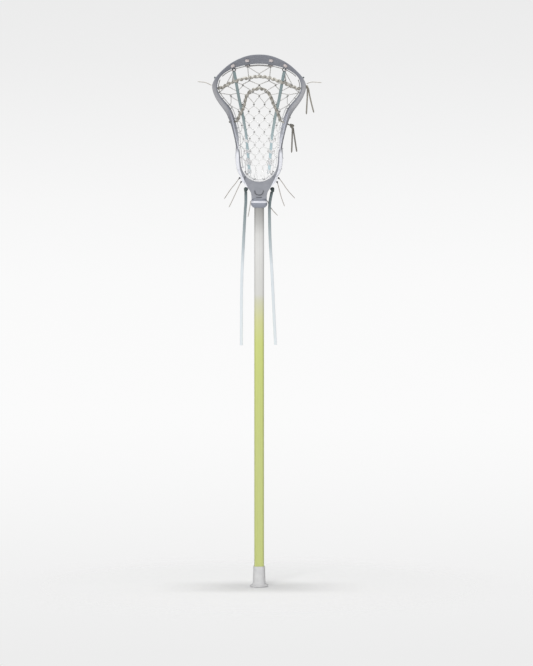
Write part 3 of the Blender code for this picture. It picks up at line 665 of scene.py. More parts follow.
def twin_paint(name, one, two, pitch):
    """Two cords twisted together, one khaki and one cream, with a fine braid on both. The cream is
    partly the cord's own colour and partly painted highlight along the twists.
    """
    paint = Paint(name, 0.78, Sheen_Weight=0.25, Sheen_Roughness=0.4)
    along, around = paint.cord()
    side = paint.math("COSINE", paint.times(around, TAU))
    beat = paint.math("SINE", paint.times(along, TAU / LACE_BEAT))
    both = paint.plus(paint.times(side, 0.5), beat)
    base = paint.ramp(paint.span(both, -0.9, 0.9), [(0.0, one), (1.0, two)])
    return woven(paint, base, braid(paint, 5, pitch), 0.2, 0.34, 0.10, 210.0)


def strap_paint(name, stops, fade):
    """Flat woven nylon: fine diagonal ribs that turn at the middle."""
    paint = Paint(name, 0.66, Sheen_Weight=0.3, Sheen_Roughness=0.35)
    along, around = paint.cord()
    folded = paint.math("PINGPONG", around, 0.25)
    slant = paint.plus(paint.times(along, TAU / 1.1), paint.times(folded, TAU * 7))
    rib = paint.math("SINE", slant)
    weft = paint.math("SINE", paint.times(around, TAU * 26))
    weave = paint.times(paint.plus(rib, paint.times(weft, 0.5)), 0.6)
    base = paint.ramp(paint.span(paint.axis("Z"), *fade), stops)
    # Painted shade in the weave's grooves.
    groove_shade = paint.ramp(paint.span(weave, -0.9, 0.9), [(0.0, grey(0.38)), (0.8, grey(0.54))])
    paint.colour(paint.blend(0.8, base, groove_shade, "SOFT_LIGHT"))
    fuzz = paint.bump(paint.noise(2600.0, 2.0), 0.04, 0.5)
    paint.bump(weave, 0.14, 0.8, fuzz)
    return paint.made


def floor_paint():
    """A white sweep that fades out away from the stick."""
    paint = Paint("floor", 0.9)
    paint.colour(grey(0.93))
    far = paint.node("VectorMath", {0: paint.place()}, operation="LENGTH").outputs["Value"]
    eased = paint.span(far, 0.10, 0.62, smooth=True)
    out = paint.tree.nodes["Material Output"]
    hole = paint.node("BsdfTransparent").outputs[0]
    both = paint.node("MixShader", {0: eased, 1: paint.shader.outputs[0], 2: hole}).outputs[0]
    paint.tree.links.new(both, out.inputs["Surface"])
    return paint.made


# The head's material slots: its front faces, its walls, the collar's white band (a painted
# highlight), the sunk marks (painted shade) and the edge strip of the lower rails.
FRONT, WALLS, HIGHLIGHT_RING, RECESS_SHADE, EDGE = range(5)
WHOLE_HEAD = [
    head_front(), head_sides(), moulded("collar_highlight_nylon", HEAD_WHITE, 0.38).made,
    head_recess(), moulded("head_edge_nylon", HEAD_GREY, NYLON_ROUGHNESS).made,
]
CORD_LIGHT = (0.98, 0.975, 0.965)
CORD_DARK = (0.53, 0.52, 0.50)
NET = cord_paint("net_cord", CORD_LIGHT, CORD_DARK, 3, 2.6, 0.12, (0.930, 1.03))
THIN = cord_paint("thin_string", (0.52, 0.48, 0.44), (0.50, 0.47, 0.42), 3, 2.2, 0.10)
LACE = cord_paint("khaki_lace", (0.250, 0.235, 0.205), (0.46, 0.43, 0.37), 4, 4.2, 0.22, (0.94, 1.03))
RUNNER = strap_paint(
    "runner_strap",
    [
        (0.0, (0.60, 0.75, 0.79)), (0.33, (0.52, 0.66, 0.70)), (0.57, (0.42, 0.51, 0.52)),
        (0.77, (0.32, 0.405, 0.415)), (1.0, (0.275, 0.35, 0.36)),
    ],
    (0.850, 1.000),
)
DARK_STRING = cord_paint("waxed_string", (0.085, 0.088, 0.095), (0.110, 0.112, 0.115), 3, 2.2, 0.10)
THIN_EDGE = cord_paint("edge_string", grey(0.92), (0.34, 0.335, 0.325), 3, 2.2, 0.08, (0.93, 1.03))
# Thread round the net's links: pale low down, dark grey higher up as painted shade where the cords
# cross.
LINK_SHADE = cord_paint("link_shade_thread", (0.86, 0.84, 0.83), (0.17, 0.165, 0.155), 3, 2.2, 0.08, (0.880, 0.950))
TIE = cord_paint("tie_cord", (0.72, 0.66, 0.65), (0.72, 0.66, 0.65), 3, 2.2, 0.10)
LACING = cord_paint("lacing_cord", grey(0.92), (0.90, 0.90, 0.89), 3, 2.4, 0.06)
SHOOTER = twin_paint("shooter_lace", (0.31, 0.295, 0.26), (0.57, 0.55, 0.50), 3.4)
STITCH = cord_paint("pad_stitch", grey(0.30), grey(0.30), 3, 2.4, 0.12)
BEAD = cord_paint("bead_cord", grey(0.90), grey(0.90), 3, 2.4, 0.06)
GREY_KNOT = cord_paint("grey_knot", (0.17, 0.20, 0.20), (0.17, 0.20, 0.20), 3, 2.4, 0.12)
CAP = cap_rubber()
TAIL = strap_paint(
    "runner_end",
    [
        (0.0, (0.88, 0.94, 0.98)), (0.50, (0.83, 0.89, 0.93)), (0.62, (0.56, 0.63, 0.66)),
        (0.78, (0.38, 0.445, 0.465)), (0.93, (0.24, 0.30, 0.312)), (0.975, (0.085, 0.115, 0.112)),
    ],
    (0.50, 0.82),
)


# ---- camera ----------------------------------------------------------------------------
def camera():
    """Far off, a little above the head and square to the front: nearly a parallel view."""
    made = linked("camera", bpy.data.cameras.new("camera"))
    made.location = (0.0150, -14.0, 1.6)
    made.rotation_euler = (math.radians(90 - 4.242), 0.0, 0.0)
    made.data.sensor_width = 36.0
    made.data.lens = 371.6
    made.data.shift_y = -0.0302
    bpy.context.scene.camera = made


# ---- free cords ------------------------------------------------------------------------
def free_string(name, route, radius, paint, slot, rope=False):
    """A round free end of string. It starts at the first point of its route."""
    line = spaced(smooth(route, 12), radius * 0.9)
    skin = Skin()
    if rope:
        skin.tube(line, radius, 14, 3, TAU / 9.0, 0.26, taper=2.0)
    else:
        skin.tube(line, radius, 10, taper=3.0)
    obj = skin.build(name, paint, 180)
    put(obj, BODY, slot, name.replace("_look", ""))
    return obj


def squared(value, power):
    """A sine or cosine pushed out towards 1 or -1, which squares up a round section."""
    return math.copysign(abs(value) ** power, value)


def strap_loops(route, width, thick, cup):
    """Sections of a flat strap. A route's rows are x, y, z and the turn of its flat."""
    rows = spaced(smooth(route, 12), 2.4)
    loops = []
    for i, (x, y, z, turn) in enumerate(rows):
        before, after = around(rows, i)
        along = (Vector(after[:3]) - Vector(before[:3])).normalized()
        angle = math.radians(turn)
        across = Vector((math.cos(angle), math.sin(angle), 0.0))
        across = (across - along * across.dot(along)).normalized()
        up = along.cross(across)
        centre = Vector((x, y, z))
        ring = []
        for angle in turns(20):
            u = width / 2 * squared(math.cos(angle), 0.38)
            v = thick / 2 * squared(math.sin(angle), 0.62)
            v += cup * (1 - (2 * u / width) ** 2)
            ring.append(centre + across * u + up * v)
        loops.append(ring)
    return rows, loops


def free_strap(name, route, width, thick, paint, slot):
    """A flat free end. It starts at the first point of its route."""
    rows, loops = strap_loops(route, width, thick, 0.12)
    obj = lofted(loops).build(name, paint, 60)
    put(obj, BODY, slot, name.replace("_look", ""))
    return obj


RUNNER_ENDS = {
    "runner_tail_left_look": [
        (-27.2, 9.6, 808.6, 8), (-27.3, 11.0, 786.0, 14), (-28.6, 11.6, 768.0, 20),
        (-32.0, 11.0, 704.0, 12), (-35.4, 10.0, 630.0, 0), (-36.2, 9.0, 560.0, -8),
        (-36.4, 8.4, 494.5, -4),
    ],
    "runner_tail_right_look": [
        (25.9, 9.6, 808.6, -10), (21.6, 11.4, 784.0, -16), (21.2, 12.4, 754.0, -14),
        (22.6, 12.0, 704.0, -6), (26.2, 11.0, 642.0, 0), (30.4, 9.6, 556.0, 8),
        (33.4, 8.6, 495.5, 4),
    ],
}
LACE_ENDS = {
    "straight_shooter_tail_a_look": [
        (98.6, 5.2, 1019.0), (98.2, 4.6, 1004.0), (97.2, 4.0, 986.0), (96.2, 3.6, 967.4),
    ],
    "straight_shooter_tail_b_look": [
        (100.6, 9.2, 1018.6), (103.4, 9.8, 1003.0), (107.4, 9.8, 986.0), (111.4, 9.4, 970.6),
    ],
    "u_shooter_tail_a_look": [
        (67.8, 7.4, 937.6), (67.4, 6.6, 922.0), (66.8, 6.0, 905.0), (66.2, 5.8, 889.0),
    ],
    "u_shooter_tail_b_look": [
        (69.6, 11.6, 936.8), (72.0, 12.0, 921.0), (74.4, 12.0, 905.0), (76.8, 11.8, 890.4),
    ],
}
STRING_ENDS = {
    "throat_tail_outer_left_look": [
        (-42.2, -6.0, 835.2), (-48.4, -5.6, 826.4), (-58.4, -5.4, 814.0), (-71.4, -5.8, 794.8),
    ],
    "throat_tail_inner_left_look": [
        (-38.4, -3.8, 826.8), (-42.6, -3.4, 818.0), (-51.8, -3.4, 798.0), (-61.6, -3.8, 777.8),
    ],
    "throat_tail_outer_right_look": [
        (42.2, -6.0, 835.2), (47.6, -5.6, 828.0), (58.8, -5.4, 812.0), (73.0, -5.8, 796.0),
    ],
    "throat_tail_inner_right_look": [
        (37.8, -3.8, 826.6), (40.2, -3.4, 817.0), (45.4, -3.4, 797.6), (52.0, -3.8, 779.6),
    ],
    "throat_string_tail_left_look": [
        (-17.6, 21.6, 789.0), (-18.6, 21.8, 780.0), (-20.6, 21.6, 768.0), (-22.8, 21.0, 756.6),
    ],
    "throat_string_tail_right_look": [
        (17.4, 21.8, 789.2), (20.8, 22.2, 780.0), (28.0, 22.0, 770.0), (37.8, 21.2, 759.4),
    ],
    "top_string_tail_left_look": [
        (-97.6, 8.8, 1026.4), (-104.0, 8.2, 1029.6), (-112.0, 7.0, 1032.4), (-125.6, 3.0, 1033.8),
    ],
    "top_string_tail_right_look": [
        (97.6, 11.0, 1029.4), (104.0, 9.6, 1032.2), (112.0, 7.0, 1032.8), (127.4, 3.4, 1031.8),
    ],
}


def free_cords():
    """All the free ends: straps, lace ends and string ends."""
    for name, route in RUNNER_ENDS.items():
        free_strap(name, route, STRAP_WIDTH, 1.7, TAIL, "strap_nylon")
    for name, route in LACE_ENDS.items():
        free_string(name, route, LACE_RADIUS, LACE, "khaki_lace", rope=True)
    for name, route in STRING_ENDS.items():
        free_string(name, route, STRING_RADIUS, THIN, "thin_string")


# ---- knots -----------------------------------------------------------------------------
def knot_line(centre, size, tilt):
    """An overhand knot pulled tight: a trefoil fitted into a box."""
    turn = Matrix.Rotation(math.radians(tilt), 3, "Y")
    line = []
    for t in [*turns(72), TAU]:
        x = (math.sin(t) + 2 * math.sin(2 * t)) / 6.0 * size[0]
        y = -math.sin(3 * t) / 2.0 * size[1]
        z = (math.cos(t) - 2 * math.cos(2 * t)) / 6.0 * size[2]
        line.append(turn @ Vector((x, y, z)) + Vector(centre))
    return line


def knot(name, centre, size, cord, paint, slot, node, tilt=0.0, rope=False, leads=()):
    """A tight knot whose outer size is the CAD lump's, and short leads out of it."""
    inner = tuple(max(s - 2 * cord, 0.4 * s) for s in size)
    skin = Skin()
    line = spaced(knot_line(centre, inner, tilt), cord * 0.5)
    if rope:
        skin.tube(line, cord, 12, 3, TAU / 7.0, 0.22)
    else:
        skin.tube(line, cord, 10)
    for end in leads:
        away = Vector(end) - Vector(centre)
        stop = Vector(end) - away.normalized() * 0.2
        skin.tube(spaced([tuple(centre), tuple(stop)], 1.0), cord, 10)
    obj = skin.build(name, paint, 180)
    return put(obj, BODY, slot, node)


def node_middle(node):
    """The middle and the size of a CAD node's box."""
    low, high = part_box(node)
    middle = [(a + b) / 2 / MM for a, b in zip(low, high)]
    size = [(b - a) / MM for a, b in zip(low, high)]
    return middle, size


# The free ends that leave each knot.
LEADS = {
    "straight_shooter_knot_right": ["straight_shooter_tail_a_look", "straight_shooter_tail_b_look"],
    "u_shooter_knot_right": ["u_shooter_tail_a_look", "u_shooter_tail_b_look"],
    "throat_knot_outer_left": ["throat_tail_outer_left_look"],
    "throat_knot_outer_right": ["throat_tail_outer_right_look"],
    "throat_knot_inner_left": ["throat_tail_inner_left_look"],
    "throat_knot_inner_right": ["throat_tail_inner_right_look"],
}


def knots():
    """The knots on the straps' ends and outside the head."""
    for side, lean in (("left", 12), ("right", -12)):
        node = f"runner_knot_{side}"
        middle, _ = node_middle(node)
        middle[0] *= 0.96
        knot(node + "_look", middle, (9.2, 7.2, 12.4), 2.6, TAIL, "strap_nylon", node, lean)
    for node in (
        "straight_shooter_knot_left", "straight_shooter_knot_right",
        "u_shooter_knot_left", "u_shooter_knot_right",
    ):
        middle, size = node_middle(node)
        cord = min(1.9, min(size) * 0.28)
        leads = [LACE_ENDS[name][0] for name in LEADS.get(node, [])]
        knot(node + "_look", middle, size, cord, LACE, "khaki_lace", node, 20, rope=True, leads=leads)
    for side in ("left", "right"):
        for word in ("sidewall_knot_", "corner_knot_", "throat_knot_outer_", "throat_knot_inner_"):
            node = word + side
            middle, size = node_middle(node)
            leads = [STRING_ENDS[name][0] for name in LEADS.get(node, [])]
            paint = GREY_KNOT if word == "corner_knot_" else DARK_STRING
            knot(node + "_look", middle, size, 0.95, paint, "thin_string", node, 30, leads=leads)


# ---- head ------------------------------------------------------------------------------
# Sidewall windows: height up the stick and length along the rail.
WINDOWS = [(876.0, 30.0), (914.0, 32.0), (951.0, 28.0), (990.0, 26.0), (1026.0, 20.0)]
# The heights of the holes in the string rail.
STRING_HOLES = [858.0, 878.0, 898.0, 918.0, 938.0, 958.0, 978.0, 998.0, 1020.0, 1040.0]
# Slots through the scoop: x, z and how they lean.
SCOOP_SLOTS = [(24.3, 1077.2, 5.0), (53.4, 1066.6, 31.0)]
# The sides of the rail's section that count as its front.
FRONT_FACES = range(2, 7)


def wall_inside(here, depth):
    """How far out the sidewall's inner face is at a depth."""
    knee = max(here.back - 14.0, here.inner + 2.2)
    if depth < knee:
        return mix(0.0, 0.35 * here.flare, (depth - here.inner) / (knee - here.inner))
    return mix(0.35 * here.flare, here.flare, (depth - knee) / (here.back - knee))


# How much of the rail's front face its inner strip takes, by height.
STRIP = [
    (840.0, 0.88), (849.0, 0.56), (856.0, 0.36), (865.0, 0.20), (884.0, 0.13), (896.0, 0.26),
    (910.0, 0.32), (926.0, 0.46), (948.0, 0.46), (966.0, 0.30), (984.0, 0.12), (1100.0, 0.08),
]
# Below this height the inner strip is the grey part, and the rest of the face is white.
STRIP_SWAP = 896.0


def stepped(table, at):
    """A value from a table of (place, value) rows, straight between its rows."""
    for (a0, v0), (a1, v1) in zip(table, table[1:]):
        if at <= a1:
            return mix(v0, v1, max(0.0, (at - a0) / (a1 - a0)))
    return table[-1][1]


def rail_section(here):
    """The rail's section: front face first, then the outside, the back and the inside.

    Its rows are (distance out of the head's opening, depth). c is the size of its chamfers.
    """
    c = 0.8
    strip = stepped(STRIP, here.z)
    crest = c + (here.width - 2 * c) * strip
    drop = 2.4 * strip if here.z > STRIP_SWAP else 0.0
    w, f = here.width, here.flare
    web = WEB + (f if f > 0 else 0.6 * f)
    top = min(max(here.lip, here.inner) + 7.2, here.back - 7.8)
    low = here.back - 7.0
    neck = WEB + 0.3 + 0.2 * max(f, 0.0)
    high_edge, low_edge = mix(top, low, 0.18), mix(top, low, 0.90)
    return [
        (0.0, here.inner + c + drop),
        (c, here.inner + drop),
        (crest, mix(here.inner, here.lip, crest / w)),
        (w - c, here.lip),
        (w, here.lip + c),
        (w, here.lip + RAIL_THICK - 0.6),
        (max(w - 1.5, WEB + 0.1), here.lip + RAIL_THICK + 0.4),
        (neck, top),
        (mix(neck, web, 0.18), high_edge),
        (mix(neck, web, 0.90), low_edge),
        (web, low),
        (BACK_RAIL + f, here.back - 5.2),
        (BACK_RAIL + f, here.back - c),
        (BACK_RAIL + f - c, here.back),
        (f + c, here.back),
        (f, here.back - c),
        (wall_inside(here, low_edge), low_edge),
        (wall_inside(here, high_edge), high_edge),
    ]


def rail():
    """The head's ring with its sidewall windows, as a cage that is then rounded."""
    half = [Station(*p) for p in spaced(FINE, 5.2, 2)]
    reach = distances(half, 2)
    open_at = set()
    for z, length in WINDOWS:
        middle = min(range(len(half)), key=lambda i: abs(half[i].z - z))
        for i in range(len(half) - 1):
            centre = (reach[i] + reach[i + 1]) / 2
            if abs(centre - reach[middle]) < length / 2:
                open_at.add(i)
    loops = []
    for i, here in enumerate(half):
        ox, oz = outward(half, i)
        loops.append([(here.x + ox * n, y, here.z + oz * n) for n, y in rail_section(here)])
    loops += [[(-x, y, z) for x, y, z in loop] for loop in loops[-2:0:-1]]
    last = len(half) - 1
    low_down = {i for i in range(last) if half[i].z < STRIP_SWAP}
    low_down |= {2 * last - 1 - i for i in low_down}
    gaps = open_at | {2 * last - 1 - i for i in open_at}
    count, rows = len(loops[0]), len(loops)
    high_out, low_out, low_in, high_in = 8, 9, 16, 17
    skin = Skin()
    skin.points = [p for loop in loops for p in loop]

    def face(*corners, slot=WALLS):
        skin.face(corners, [(0.0, 0.0)] * len(corners), slot)

    for i in range(rows):
        a, b = i * count, (i + 1) % rows * count
        for k in range(count):
            n = (k + 1) % count
            if i in gaps and k in (high_out, low_in):
                continue
            slot = FRONT if k in FRONT_FACES else WALLS
            if k < 2 and i in low_down:
                slot = EDGE
            face(a + k, a + n, b + n, b + k, slot=slot)
        if i in gaps:
            face(a + high_out, b + high_out, b + high_in, a + high_in)
            face(a + low_in, b + low_in, b + low_out, a + low_out)
            if (i - 1) % rows not in gaps:
                face(a + high_out, a + high_in, a + low_in, a + low_out)
            if (i + 1) % rows not in gaps:
                face(b + high_out, b + low_out, b + low_in, b + high_in)
    obj = skin.build("head_look", WHOLE_HEAD, 180)
    step = obj.modifiers.new("rounding", "SUBSURF")
    step.levels = step.render_levels = 2
    return applied(obj)


def prism(outline, front, back, slot=0):
    """A skin round an outline of (x, z) points, from one depth to another."""
    return lofted([[(x, depth, z) for x, z in outline] for depth in (front, back)], slot)


def octagon(half_x, half_y, corner_x, corner_y, z):
    """A loop round a box whose corners are cut off by slightly rounded bevels."""
    steps = 5
    loop = []
    for sx, sy in ((1, 1), (-1, 1), (-1, -1), (1, -1)):
        corner = [
            (sx * half_x, sy * (half_y - corner_y)), (sx * half_x, sy * half_y),
            (sx * (half_x - corner_x), sy * half_y),
        ]
        if sx * sy < 0:
            corner.reverse()
        for k in range(steps + 1):
            t = k / steps
            bulge = 2 * t * (1 - t)
            shares = 1 - t - bulge / 2, bulge, t - bulge / 2
            x, y = (sum(share * p[i] for share, p in zip(shares, corner)) for i in (0, 1))
            loop.append((x, y, z))
    return loop


def shaft_bore(low, high):
    """A cutter for the hole that takes the shaft, between two heights."""
    wide, deep = SHAFT_X + GAP, SHAFT_Y + GAP
    return lofted([octagon(wide, deep, SHAFT_CORNER_X, SHAFT_CORNER_Y, z) for z in (low, high)])


# The throat plate's outer edge on the right, and that of its raised face, from the rail
# down to the collar.
THROAT_EDGE = [
    (33.6, 848.0), (36.6, 842.0), (36.4, 836.0), (33.4, 830.0), (28.0, 823.6),
    (22.4, 816.8), (18.0, 811.0), (16.0, 804.0), (15.4, 795.0),
]
FACE_EDGE = [
    (33.0, 847.6), (32.8, 842.4), (31.2, 837.0), (28.7, 831.0), (25.8, 825.0),
    (21.9, 818.4), (17.6, 811.4), (15.7, 804.0), (15.1, 796.0),
]


def beside(line, distance):
    """The line of (x, z) points that runs at a distance to the left of another."""
    made = []
    for i, (x, z) in enumerate(line):
        dx, dz = heading(line, i)
        made.append((x + dz * distance, z - dx * distance))
    return made


def plate(name, right, front, back, slot):
    """A plate from the rail's inner edge down to the collar, between two depths."""
    left = [(-x, z) for x, z in reversed(right)]
    top = []
    for i, here in enumerate(FINE):
        if here.z < right[0][1] and i % 3 == 0:
            ox, oz = outward(FINE, i)
            top.append((here.x + ox * 0.5, here.z + oz * 0.5))
    across = [(-x, z) for x, z in reversed(top)] + top[1:]
    return prism(right + left + across, front, back, slot).build(name, WHOLE_HEAD)


def throat():
    """The face plate, the walls behind its edges and the collar."""
    right = smooth(THROAT_EDGE, 4)
    whole = soften(plate("face", smooth(FACE_EDGE, 5), -21.1, -15.0, FRONT), 0.7)
    narrower = [(x - 0.4, z + 0.13) for x, z in right]
    boolean(whole, soften(plate("base", narrower, -18.8, -14.0, WALLS), 0.6), "UNION")
    skirt = right + beside(right, 2.8)[::-1]
    for side in (1, -1):
        wall = prism([(side * x, z) for x, z in skirt], -17.9, 16.2, WALLS)
        boolean(whole, wall.build("skirt", WHOLE_HEAD), "UNION")
    profile = [
        # height, half width, half depth
        (777.6, 11.9, 14.2), (778.0, 12.3, 14.6), (781.2, 15.4, 17.7), (782.6, 16.3, 18.5),
        (784.6, 16.8, 19.0), (785.4, 16.8, 19.0), (786.0, 16.3, 18.5), (786.6, 16.3, 18.5),
        (787.4, 16.6, 18.8), (789.6, 16.6, 18.8), (791.4, 16.0, 18.2), (793.8, 15.0, 17.2),
        (796.0, 14.9, 17.1), (804.0, 15.2, 17.2), (812.0, 16.2, 17.6), (820.0, 17.0, 17.9),
        (828.4, 17.5, 18.0),
    ]
    rings = [octagon(hx, hy, hx * 0.42, hy * 0.38, z) for z, hx, hy in profile]
    skin = lofted(rings)
    count = len(rings[0])
    # The band from 787 to 791 mm takes the white material: a painted highlight on the collar's upper
    # slope.
    for row, (z, _, _) in enumerate(profile[:-1]):
        if 787.0 < z < 791.0:
            skin.slots[row * count : (row + 1) * count] = [HIGHLIGHT_RING] * count
    return boolean(whole, skin.build("socket", WHOLE_HEAD), "UNION")


def block(centre, size):
    """A box cutter."""
    x, y, z = (s / 2 for s in size)
    square = ((x, -y), (x, y), (-x, y), (-x, -y))
    return lofted([[Vector((sx, sy, sz)) + Vector(centre) for sx, sy in square] for sz in (-z, z)])


def rod(centre, axis, radius, length, sides=24):
    """A round cutter through a point."""
    axis = Vector(axis).normalized()
    side = axis.orthogonal().normalized()
    up = axis.cross(side)
    ring = [(side * math.cos(t) + up * math.sin(t)) * radius for t in turns(sides)]
    ends = [Vector(centre) + axis * end for end in (-length / 2, length / 2)]
    return lofted([[end + p for p in ring] for end in ends])


def slot_cutter(middle_x, middle_z, turn):
    """A cutter with rounded ends for a slot through the scoop."""
    length, height = 8.2, 3.8
    angle = math.radians(turn)
    outline = []
    for t in turns(20):
        along = (length - height) / 2 * (1 if math.cos(t) > 0 else -1) + height / 2 * math.cos(t)
        up = height / 2 * math.sin(t)
        x = along * math.cos(angle) + up * math.sin(angle)
        z = -along * math.sin(angle) + up * math.cos(angle)
        outline.append((middle_x + x, middle_z + z))
    return prism(outline, -30.0, 14.0)


def cut_all(obj, skins, materials):
    """Takes several cutters that don't touch one another out of a piece at once."""
    joined = Skin()
    for skin in skins:
        base = len(joined.points)
        joined.points += skin.points
        joined.faces += [tuple(base + i for i in face) for face in skin.faces]
        joined.coords += skin.coords
        joined.slots += skin.slots
    return boolean(obj, joined.build("cutter", materials), "DIFFERENCE")


def rail_point(z, side=1):
    """The rail's inner edge at a height, and the way out of the head's opening there."""
    i = min(range(len(FINE)), key=lambda k: abs(FINE[k].z - z))
    ox, oz = outward(FINE, i)
    return FINE[i], Vector((side * ox, 0.0, oz)), Vector((side * FINE[i].x, 0.0, FINE[i].z))


# The middle of the slope below the throat's face, and how it leans.
SLOPE_AT = Vector((0.0, -19.0, 809.7))
SLOPE = Matrix.Rotation(math.radians(-7.6), 3, "X")


def sloped(skin):
    """Turns a cutter drawn about the slope's own middle onto the throat's slope."""
    skin.points = [tuple(SLOPE @ Vector(p) + SLOPE_AT) for p in skin.points]
    return skin


def recess(points, wide, depth):
    """A cutter for a groove of one width along a line of (x, z) points on the slope."""
    line = smooth(points, 6)
    outline = beside(line, -wide / 2) + beside(line, wide / 2)[::-1]
    return sloped(prism(outline, -6.0, depth, RECESS_SHADE))


def head():
    """One moulding: the ring, the throat and the collar, then drilled and slotted."""
    obj = rail()
    boolean(obj, throat(), "UNION")
    slope = block((0.0, -10.0, 1.3), (60.0, 20.0, 60.0))
    cut_all(obj, [sloped(slope)], WHOLE_HEAD)
    smile = [(-8.8, 3.0), (-7.8, -2.0), (-4.8, -5.2), (0.0, -6.2), (4.8, -5.2), (7.8, -2.0), (8.8, 3.0)]
    bar = [(-6.2, -10.6), (0.0, -11.0), (6.2, -10.6)]
    cut_all(obj, [recess(smile, 2.4, 2.0), recess(bar, 2.0, 1.8)], WHOLE_HEAD)
    holes = [shaft_bore(770.0, 821.6)]
    for side in (1, -1):
        for z in STRING_HOLES:
            here, out, at = rail_point(z, side)
            depth = here.back - 2.7
            axis_from = at + out * (BACK_RAIL + here.flare) / 2 + Vector((0.0, depth, 0.0))
            holes.append(rod(axis_from, out, 1.35, 14.0, 14))
    holes += [rod((x, 17.2, z), (0, 0, 1), 1.7, 16.0, 14) for x, z in THROAT_HOLES]
    cut_all(obj, holes, WHOLE_HEAD)
    slots = [rod((0, 16.0, SCREW_Z), (0, 1, 0), 2.3, 12.0)]
    for side in (1, -1):
        for x, z, turn in SCOOP_SLOTS:
            slots.append(slot_cutter(side * x, z, side * turn))
    cut_all(obj, slots, WHOLE_HEAD)
    sharpen(obj, 38)
    return obj


# ---- shaft, cap, screw and pad ---------------------------------------------------------
def shaft():
    """The hollow tube, octagonal with rounded corners."""
    # height, how far in from the outside, and how much smaller the corners are
    rows = [
        (5.0, 0.5, 0.0), (5.5, 0.0, 0.0), (820.5, 0.0, 0.0), (821.0, 0.5, 0.0),
        (821.0, 1.5, 0.6), (5.0, 1.5, 0.6),
    ]
    skin = Skin()
    skin.loft([
        octagon(SHAFT_X - wall, SHAFT_Y - wall, SHAFT_CORNER_X - less, SHAFT_CORNER_Y - less, z)
        for z, wall, less in rows
    ], closed=True)
    obj = skin.build("shaft_look", shaft_paint(), 30)
    cut_all(obj, [rod((0, SHAFT_Y, SCREW_Z), (0, 1, 0), 2.3, 8.0)], [])
    sharpen(obj, 30)
    return put(obj, BODY, "shaft_paint", "shaft")


def rounded(half_x, half_y, power, z):
    """A loop between an ellipse (power 2) and a rectangle (a high power)."""
    count = 64
    loop = []
    for k in range(count):
        angle = TAU * (k + 0.5) / count
        c, s = math.cos(angle), math.sin(angle)
        size = (abs(c) ** power + abs(s) ** power) ** (-1 / power)
        loop.append((half_x * c * size, half_y * s * size, z))
    return loop


def butt_cap():
    """The rubber cap: its flange, its sleeve with a groove, its bore and the dish under it."""
    profile = [
        # height, half width, half depth, squareness
        (0.0, 17.3, 17.3, 2.0), (0.35, 18.2, 18.2, 2.0), (1.1, 18.7, 18.7, 2.0),
        (2.2, 18.7, 18.7, 2.0), (2.9, 18.3, 18.3, 2.0), (3.5, 17.4, 17.6, 2.0),
        (4.3, 16.0, 16.7, 2.1), (6.0, 14.2, 15.6, 2.4), (9.0, 13.2, 15.0, 2.7),
        (14.0, 12.9, 14.8, 2.9), (24.0, 12.55, 14.4, 3.0), (33.0, 12.25, 14.15, 3.0),
        (33.4, 12.05, 13.95, 3.0), (34.2, 12.05, 13.95, 3.0), (34.6, 12.2, 14.1, 3.0),
        (40.6, 12.0, 13.9, 3.0), (41.6, 11.75, 13.65, 3.0), (42.0, 11.4, 13.3, 3.0),
    ]
    skin = lofted([rounded(hx, hy, power, z) for z, hx, hy, power in smooth(profile, 2)])
    obj = skin.build("butt_cap_look", CAP, 45)
    dish = rod((0, 0, 0), (0, 0, 1), 13.0, 1.4, 48)
    cut_all(obj, [shaft_bore(4.65, 46.0), dish], [CAP])
    sharpen(obj, 38)
    return put(obj, "butt_cap", "cap_rubber", "butt_cap")


def head_screw():
    """A pan-head screw with a thread and a cross recess."""
    seat = COLLAR_BACK + GAP
    # depth, radius
    profile = [(seat - 10.4, 0.5), (seat - 9.9, 1.2)]
    for k in range(10):
        y = seat - 9.6 + k * 0.9
        profile += [(y, 1.55), (y + 0.38, 1.9), (y + 0.5, 1.9)]
    profile += [
        (seat - 0.25, 1.7), (seat - 0.02, 1.9), (seat, 3.6), (seat + 0.25, 3.8),
        (seat + 1.1, 3.8), (seat + 1.7, 3.45), (seat + 2.25, 2.6), (seat + 2.55, 1.4),
    ]
    rings = [
        [(r * math.cos(t), y, SCREW_Z + r * math.sin(t)) for t in turns(40)] for y, r in profile
    ]
    metal = steel()
    obj = lofted(rings).build("head_screw_look", metal, 35)
    for size in ((3.6, 3.0, 0.8), (0.8, 3.0, 3.6)):
        cut_all(obj, [block((0.0, seat + 2.8, SCREW_Z), size)], [metal])
    sharpen(obj, 30)
    return put(obj, "head_screw", "screw_steel", "head_screw")


def pad():
    """The foam lining of the throat's curve, with its edges rounded over."""
    # distance in from the rail, depth
    section = [
        (0.0, -16.2), (0.7, -17.0), (2.6, -16.8), (3.6, -15.8), (4.0, -14.0),
        (4.0, 7.0), (3.6, 8.8), (2.6, 9.8), (0.7, 10.0), (0.0, 9.2),
    ]
    loops = []
    for i, here in enumerate(FINE):
        if here.z < 852.0 and i % 3 == 0:
            ox, oz = outward(FINE, i)
            row = [(here.x - ox * (GAP + n), y, here.z - oz * (GAP + n)) for n, y in section]
            loops.append(row)
    left = [[(-x, y, z) for x, y, z in loop] for loop in loops[:0:-1]]
    obj = lofted(left + loops).build("ball_stop_pad_look", foam(), 50)
    put(obj, BODY, "white_foam", "ball_stop_pad")
    return obj


# ---- the net ---------------------------------------------------------------------------
# The heights of the net's rows of links, and how far apart its middle columns are by height.
ROWS = [
    1048.7, 1036.0, 1026.0, 1012.0, 1004.0, 986.5, 972.0, 957.5, 943.5, 929.5, 916.0,
    903.0, 890.5, 878.5, 867.0, 856.0,
]
COLUMN_STEPS = [
    (843.0, 6.6), (880.0, 8.6), (915.0, 9.7), (957.0, 10.8), (986.0, 10.9), (1004.0, 11.6),
    (1016.0, 13.6), (1030.0, 18.0), (1040.0, 21.0), (1060.0, 23.4),
]
NET_CORD = 0.9
